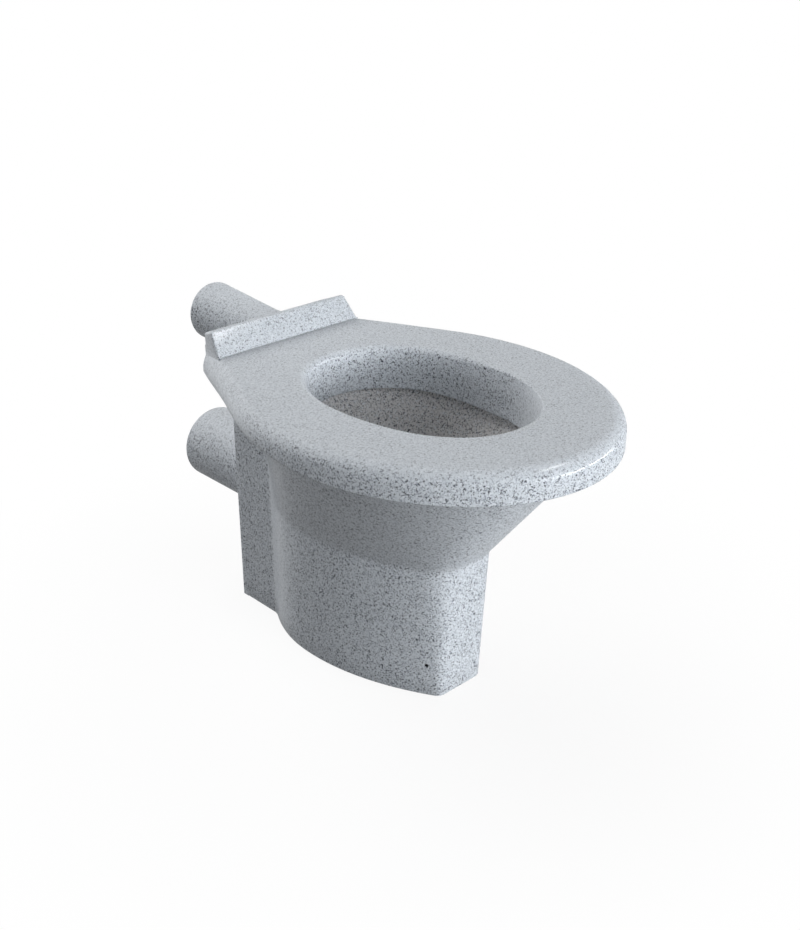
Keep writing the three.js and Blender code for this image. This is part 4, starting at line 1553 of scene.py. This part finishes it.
@dataclass
class Trap(SubAssembly):
    """Round trap under the bowl, in two bends that sleeves join to each other and to the neck."""

    bend_radius: float = 44.0
    bend_height: float = 87.0
    bend_steps: int = 37
    straight: float = 20.0
    crown_radius: float = 66.0
    crown_steps: int = 25
    run_back: float = 60.0
    joint_height: float = 101.0
    end_back: float = 10.3
    sleeve_inner: float = 39.3
    sleeve_outer: float = 44.3
    sleeve_half: float = 11.0
    sleeve_edge: float = 1.2
    sleeve_chamfer: float = 0.35
    points: int = 72

    @property
    def rise_back(self) -> float:
        """Distance of the rising leg from the wall."""
        return PAN.throat_back - 2 * self.bend_radius

    def section(self, radius: float, back: float, level: float, heading: float) -> Array:
        """Draws a round section of a pipe on the middle plane.

        Args:
            radius: its radius.
            back: distance of its middle from the wall.
            level: height of its middle.
            heading: tilt of the pipe.

        Returns:
            Rows of x, y, z.
        """
        angles = circle(self.points)
        rise = radius * np.sin(angles)
        y, z = -back - rise * math.sin(heading), level + rise * math.cos(heading)
        return np.column_stack([radius * np.cos(angles), y, z])

    def pipe(self, name: str, centres: Sequence[tuple[float, float, float]]) -> Piece:
        """Draws a round pipe along the middle plane and gives it its wall.

        Args:
            name: the new object's name.
            centres: distance from the wall, height and heading of each section.

        Returns:
            The pipe.
        """
        half_wall = (PAN.trap_radius + PAN.trap_bore) / 2
        outside = [self.section(PAN.trap_radius, *centre) for centre in centres]
        inside = [self.section(PAN.trap_bore, *centre) for centre in reversed(centres)]
        first, last = (self.section(half_wall, *centres[end]) for end in (0, -1))
        return draw_skin(name, [first, *outside, last, *inside], joined=True)

    def inlet_centres(self) -> list[tuple[float, float, float]]:
        """Lists the sections of the lower bend, from the neck to the rising leg.

        Returns:
            Distance from the wall, height and heading of each.
        """
        back, height = PAN.throat_back, self.bend_height
        rows = [(back, PAN.neck_bottom - PAN.gap, -QUARTER), (back, height + self.straight, -QUARTER)]
        for turn in np.linspace(0, math.pi, self.bend_steps):
            middle = back - self.bend_radius * (1 - math.cos(turn))
            rows.append((middle, height - self.bend_radius * math.sin(turn), turn - QUARTER))
        return [*rows, (self.rise_back, self.joint_height - PAN.gap / 2, QUARTER)]

    def outlet_centres(self) -> list[tuple[float, float, float]]:
        """Lists the sections of the crown, from the rising leg to the outlet spigot.

        Returns:
            Distance from the wall, height and heading of each.
        """
        height = PAN.outlet_height - self.crown_radius
        rows = [(self.rise_back, self.joint_height + PAN.gap / 2, QUARTER)]
        for turn in np.linspace(0, QUARTER, self.crown_steps):
            back = self.rise_back - self.crown_radius * (1 - math.cos(turn))
            rows.append((back, height + self.crown_radius * math.sin(turn), QUARTER - turn))
        return [*rows, (self.run_back, PAN.outlet_height, 0.0), (self.end_back, PAN.outlet_height, 0.0)]

    def sleeve(self, name: str, back: float, level: float) -> Piece:
        """Turns a collar with eased edges.

        Args:
            name: the new object's name.
            back: distance of its axis from the wall.
            level: height of its middle.

        Returns:
            The collar.
        """
        inner, outer, half, edge = self.sleeve_inner, self.sleeve_outer, self.sleeve_half, self.sleeve_edge
        rise = ((inner, half), (outer - edge, half), (outer - self.sleeve_chamfer, half - edge * 0.3))
        corners = [*rise, (outer, half - edge)]
        profile = [(radius, -place) for radius, place in corners] + corners[::-1]
        return turn_on_lathe(name, profile, (0, -back, level), (0, 0, 1), self.points)

    def build(self) -> None:
        """Models the trap and dresses it."""
        bends = {"trap_inlet_bend": self.inlet_centres(), "trap_outlet_bend": self.outlet_centres()}
        for name, centres in bends.items():
            stand_for(self.pipe(f"{name}_cast", centres), self.paints.resin, name)
        places = {
            "throat_sleeve": (PAN.throat_back, PAN.neck_bottom),
            "trap_joint_sleeve": (self.rise_back, self.joint_height),
        }
        for name, place in places.items():
            stand_for(self.sleeve(f"{name}_cast", *place), self.paints.resin, name)


@dataclass
class Spigots(SubAssembly):
    """Soil outlet below and flush inlet above, both through the wall."""

    outlet_radius: float = 54.0
    outlet_bore: float = 42.0
    outlet_length: float = 142.0
    outlet_tail: float = 30.0
    socket_depth: float = 20.0
    inlet_length: float = 122.5
    inlet_flare: float = 4.5
    inlet_rise: float = 5.5
    inlet_stops: tuple[float, ...] = (80.0, 40.0, 0.0)
    tail_stop: float = -10.0
    lip: float = 2.6
    lip_steps: int = 5
    inner_lip: float = 0.2
    inner_lip_depth: float = 0.4
    points: int = 112

    def end_lip(self, outer: float, bore: float, end: float) -> list[tuple[float, float]]:
        """Lists the corners of a spigot's rounded end.

        Args:
            outer: outside radius of the spigot.
            bore: radius of its bore.
            end: distance of its end beyond the wall.

        Returns:
            Radius and distance beyond the wall of each.
        """
        lip, rounding = self.lip, quarter_round(self.lip, self.lip_steps)
        corners = [(outer - inward, end - lip + upward) for inward, upward in rounding]
        return [*corners, (bore + lip * 0.5, end), (bore + self.inner_lip, end - self.inner_lip_depth)]

    def outlet(self) -> Piece:
        """Turns the soil outlet.

        Returns:
            The spigot.
        """
        end, lip, tail = self.outlet_length, self.lip, -self.outlet_tail
        shoulder, outer, bore = self.socket_depth - self.outlet_tail, self.outlet_radius, self.outlet_bore
        seat = PAN.trap_radius + PAN.gap
        profile = [(outer, tail), (outer, 0.0), (outer, end / 2), *self.end_lip(outer, bore, end)]
        profile += [(bore, end - lip * 0.5), (bore, end / 2), (bore, shoulder)]
        profile += [(seat, shoulder), (seat, tail)]
        return turn_on_lathe("soil_outlet_spigot", profile, (0, 0, PAN.outlet_height), (0, 1, 0), self.points)

    def inlet_ring(self, radius: float, beyond: float) -> Array:
        """Draws a section of the flush spigot, which widens and rises towards its end.

        Args:
            radius: its radius at the wall.
            beyond: its distance beyond the wall.

        Returns:
            Rows of x, y, z.
        """
        share = max(beyond, 0.0) / self.inlet_length
        angles = circle(self.points)
        reach = radius + self.inlet_flare * share
        level = PAN.inlet_height + self.inlet_rise * share
        return np.column_stack(
            [reach * np.cos(angles), np.full(self.points, beyond), level + reach * np.sin(angles)]
        )

    def inlet(self) -> Piece:
        """Models the flush inlet.

        Returns:
            The spigot.
        """
        end, tail = self.inlet_length, -PAN.inlet_tail
        outer, bore = PAN.inlet_radius, PAN.inlet_bore
        rows = [(outer, place) for place in (tail, self.tail_stop, *self.inlet_stops[::-1])]
        rows += self.end_lip(outer, bore, end)
        rows += [(bore, place) for place in (end - self.lip, *self.inlet_stops, tail)]
        return draw_skin("flush_inlet_spigot_cast", [self.inlet_ring(*row) for row in rows], joined=True)

    def build(self) -> None:
        """Models both spigots and dresses them."""
        stand_for(self.outlet(), self.paints.resin, "outlet_spigot")
        stand_for(self.inlet(), self.paints.resin, "flush_inlet_spigot")


@dataclass
class WallInserts(SubAssembly):
    """Four threaded bushes in the back of the plate."""

    bore: float = 5.0
    length: float = 24.0
    bottom: float = 4.0
    pitch: float = 2.0
    thread: float = 0.55
    edge: float = 0.6
    groove: float = 0.4
    groove_pitch: float = 2.5
    sunk: float = 0.02
    mouth: float = 0.9
    axis_radius: float = 0.001
    points: int = 48
    crease: float = 30.0

    def profile(self) -> list[tuple[float, float]]:
        """Lists the corners of a bush, with the grooves of its thread.

        Returns:
            Radius and place along the axis of each.
        """
        outer, bore, groove = PAN.insert_radius, self.bore, self.groove
        corners = [(self.axis_radius, -self.length), (outer - self.edge, -self.length)]
        corners.append((outer, self.edge - self.length))
        for place in np.arange(-self.length + 3, -2, self.groove_pitch):
            steps = ((outer, 0.0), (outer - groove, 0.5), (outer - groove, 1.0), (outer, 1.5))
            corners += [(radius, place + step) for radius, step in steps]
        corners += [(outer, -groove), (outer - groove, -self.sunk), (bore + self.mouth, -self.sunk)]
        deepest = self.bottom - self.length
        for place in np.arange(-1.0, deepest + self.pitch, -self.pitch):
            corners += [(bore, place), (bore + self.thread, place - self.pitch / 2)]
        return [*corners, (bore, deepest), (self.axis_radius, deepest)]

    def build(self) -> None:
        """Turns one bush, copies it to the four places and dresses the copies."""
        master = turn_on_lathe("bush", self.profile(), (0, 0, 0), (0, 1, 0), self.points)
        for name, x, z in insert_places():
            bush = master.copy()
            bush.data = master.data.copy()
            bush.name = f"{name}_bush"
            bpy.context.scene.collection.objects.link(bush)
            bush.data.transform(Matrix.Translation(Vector((x, 0, z)) * MILLIMETRE))
            stand_for(bush, self.paints.brass, name, self.crease)
        bpy.data.objects.remove(master)


@dataclass
class SideFixing(SubAssembly):
    """Set screw in each side of the foot, with the floor bracket that it enters."""

    back: float = 369.0
    height: float = 47.0
    radius: float = 3.0
    recess: float = 2.5
    screw_end: float = 22.0
    screw_edge: float = 0.5
    key_radius: float = 1.6
    key_depth: float = 6.0
    hole_radius: float = 3.3
    overshoot: float = 4.0
    depth_to_sheet: float = 16.0
    sheet: float = 4.0
    width: float = 22.0
    bracket_height: float = 62.0
    reach: float = 20.0
    floor_hole: float = 2.75
    bracket_edge: float = 0.6

    def way_in(self, side: Side) -> tuple[Vector, Vector]:
        """Finds the screw's place on the foot's face and the way inwards from there.

        Args:
            side: the side of the foot.

        Returns:
            The place in metres, and the inward direction.
        """
        casing = PedestalCasing(self.paints)
        outline = casing.section(self.height, 0.0)
        near = int(np.argmin(np.abs(outline[: casing.dense // 2, 1] + self.back)))
        ahead = outline[near + 3] - outline[near - 3]
        across, y = side.value * outline[near, 0], outline[near, 1] + PAN.wall_plane
        inward = Vector((-side.value * abs(ahead[1]), abs(ahead[0]), 0.0)).normalized()
        return Vector((across, y, self.height)) * MILLIMETRE, inward

    def bore(self, side: Side, radius: float, start: float, end: float, points: int = 48) -> Piece:
        """Adds a round or six-sided bar that runs inward from the foot's face.

        Args:
            side: the side of the foot.
            radius: its radius in millimetres.
            start: depth of its outer end, negative outside the face.
            end: depth of its inner end.
            points: number of its sides.

        Returns:
            The bar.
        """
        place, inward = self.way_in(side)
        middle = place + inward * ((start + end) / 2 * MILLIMETRE)
        return add_bar("bar", radius, end - start, middle, inward.to_track_quat("Z", "Y").to_euler(), points)

    def screw(self, side: Side) -> Piece:
        """Models a set screw with a six-sided socket in its head.

        Args:
            side: the side of the foot.

        Returns:
            The screw.
        """
        screw = self.bore(side, self.radius, self.recess, self.screw_end)
        ease_edges(screw, self.screw_edge, 60)
        cut_away(screw, self.bore(side, self.key_radius, 0.0, self.key_depth, 6))
        return screw

    def bracket(self, side: Side) -> Piece:
        """Models a bracket from an upright sheet and a foot, with its holes cut.

        Args:
            side: the side of the foot.

        Returns:
            The bracket.
        """
        place, inward = self.way_in(side)
        start, end = self.depth_to_sheet, self.depth_to_sheet + self.sheet
        sheet, width, height, reach = (
            size * MILLIMETRE for size in (self.sheet, self.width, self.bracket_height, self.reach)
        )
        middle = (start + self.sheet / 2) * MILLIMETRE
        bracket = add_block("bracket", (sheet, width, height), (middle, 0, height / 2))
        foot_middle = (start * MILLIMETRE + reach / 2, 0, sheet / 2)
        grow_on(bracket, add_block("foot", (reach, width, sheet), foot_middle))
        hole_place = (start + (self.sheet + self.reach) / 2) * MILLIMETRE
        cut_away(bracket, add_bar("hole", self.floor_hole, 20, (hole_place, 0, 0), (0, 0, 0), 40))
        turn = Matrix(((inward.x, -inward.y, 0), (inward.y, inward.x, 0), (0, 0, 1))).to_4x4()
        bracket.data.transform(Matrix.Translation(Vector((place.x, place.y, 0))) @ turn)
        cut_away(bracket, self.bore(side, self.hole_radius, start - self.overshoot, end + self.overshoot))
        ease_edges(bracket, self.bracket_edge, 50)
        return bracket

    def build(self) -> None:
        """Models the fixings of both sides and dresses them."""
        for side in Side:
            word = side.name.lower()
            screw, bracket = self.screw(side), self.bracket(side)
            screw.name, bracket.name = f"{word}_set_screw", f"{word}_bracket"
            stand_for(screw, self.paints.black, f"{word}_side_set_screw")
            stand_for(bracket, self.paints.zinc, f"{word}_floor_bracket")


@dataclass
class CarriedNodes(SubAssembly):
    """CAD nodes whose own shape is right, given their finish."""

    resin_nodes: tuple[str, ...] = ("flush_duct_floor",)

    def build(self) -> None:
        """Gives the nodes their material."""
        for name in self.resin_nodes:
            dress(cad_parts[name], self.paints.resin)
            log.info("%s: carried over from the frame", name)


def heading(azimuth: float, elevation: float) -> Vector:
    """Finds the way to a lamp or camera by its degrees round the pan, 0 in front, and up."""
    turn, tilt = math.radians(azimuth), math.radians(elevation)
    return Vector((math.sin(turn) * math.cos(tilt), -math.cos(turn) * math.cos(tilt), math.sin(tilt)))


def hang(name: str, data: bpy.types.ID, place: Sequence[float], away: Vector) -> Piece:
    """Adds a lamp or camera that looks back along a direction.

    Args:
        name: the new object's name.
        data: the lamp or camera.
        place: its place in metres.
        away: the direction from the pan to it.

    Returns:
        The object.
    """
    piece = bpy.data.objects.new(name, data)
    piece.location = place
    piece.rotation_euler = (-away).to_track_quat("-Z", "Y").to_euler()
    bpy.context.scene.collection.objects.link(piece)
    return piece


class Gleam(Enum):
    """How a lamp shows in glossy surfaces."""

    NOTHING = "gives light only"
    TOO = "gives light and shows in them too"
    ALONE = "shows in them alone"


@dataclass(frozen=True)
class Lamp:
    """One soft lamp: its direction from the pan and height in degrees, its size and its light."""

    name: str
    azimuth: float
    elevation: float
    width: float
    height: float
    power: float
    colour: Rgb = (1.0, 1.0, 1.0)
    seen_in: Gleam = Gleam.NOTHING
    distance: float = 4.8
    aim: Place = (0.0, -0.05, 0.25)

    def light(self) -> None:
        """Sets the lamp up."""
        data = bpy.data.lights.new(self.name, "AREA")
        data.shape = "RECTANGLE"
        data.size, data.size_y = self.width, self.height
        data.energy = self.power
        data.color = self.colour
        away = heading(self.azimuth, self.elevation)
        lamp = hang(self.name, data, Vector(self.aim) + away * self.distance, away)
        lamp.visible_diffuse = self.seen_in is not Gleam.ALONE
        lamp.visible_glossy = self.seen_in is not Gleam.NOTHING


@dataclass
class Studio:
    """White floor, soft lamps, pale surroundings and the camera."""

    azimuth: float = -43.478
    elevation: float = 25.640
    camera_place: Place = (-0.9924, -1.1002, 0.9748)
    lens: float = 48.38
    sensor: float = 36.0
    surroundings: float = 0.03
    tint: Rgb = (1.0, 0.985, 0.965)
    floor_size: float = 60.0
    floor_drop: float = 0.0005
    lamps: tuple[Lamp, ...] = (
        Lamp("front_key", 16.0, 6.5, 3.4, 0.8, 193.0, (0.97, 0.985, 1.0), Gleam.TOO),
        Lamp("front_fill", -2.0, 21.0, 2.2, 2.0, 72.0, (0.93, 0.965, 1.0)),
        Lamp("right_fill", 96.0, 8.0, 2.2, 1.4, 30.0, (0.98, 0.99, 1.0)),
        Lamp("left_fill", -84.0, 6.0, 2.6, 0.9, 46.0, (0.97, 0.98, 1.0)),
        Lamp("rear_left_panel", -135.0, 48.0, 4.6, 3.6, 32.0, (0.96, 0.98, 1.0)),
        Lamp("rear_panel", 180.0, 40.0, 3.0, 2.6, 178.0, (1.0, 0.99, 0.98)),
        Lamp("edge_strip", 42.0, 6.0, 5.2, 0.5, 330.0, seen_in=Gleam.ALONE),
        Lamp("rim_strip", 47.0, 57.0, 1.8, 0.6, 150.0, seen_in=Gleam.ALONE),
    )

    def set_camera(self) -> None:
        """Places the camera where the picture was taken from."""
        data = bpy.data.cameras.new("studio_camera")
        data.lens, data.sensor_width = self.lens, self.sensor
        data.sensor_fit = "AUTO"
        data.dof.use_dof = False
        back = heading(self.azimuth, self.elevation)
        bpy.context.scene.camera = hang("studio_camera", data, self.camera_place, back)

    def lay_floor(self) -> None:
        """Lays the floor under the pan."""
        clear_selection()
        bpy.ops.mesh.primitive_plane_add(size=self.floor_size, location=(0, 0, -self.floor_drop))
        floor = bpy.context.object
        floor.name = "studio_floor"
        floor.data.materials.append(StudioWhite().make())

    def set_world(self) -> None:
        """Makes the surroundings white to look at and mild as a light."""
        world = bpy.data.worlds.new("pale_room")
        bpy.context.scene.world = world
        board = NodeBoard(world)
        mild, white = (
            board.node("ShaderNodeBackground", {}, {"Color": (*colour, 1.0), "Strength": strength})
            for colour, strength in ((self.tint, self.surroundings), ((1.0, 1.0, 1.0), 1.0))
        )
        mix = board.node("ShaderNodeMixShader", {}, {0: board.looked_at(), 1: mild, 2: white})
        board.finish(mix, "ShaderNodeOutputWorld")

    def build(self) -> None:
        """Sets up the whole studio."""
        bpy.context.scene.view_settings.view_transform = "Standard"
        self.set_camera()
        self.lay_floor()
        self.set_world()
        for lamp in self.lamps:
            lamp.light()


def main() -> None:
    """Builds the pan piece by piece, and the studio round it."""
    logging.basicConfig(level=logging.INFO, format="%(name)s %(message)s")
    Studio().build()
    paints = Paints()
    castings = (SeatDeck, RearUpstand, PedestalCasing, RearPlate, Bowl, RimChannelRing, Trap, Spigots)
    for kind in (*castings, WallInserts, SideFixing, CarriedNodes):
        kind(paints).build()
    bpy.context.view_layer.update()


if __name__ == "__main__":
    main()
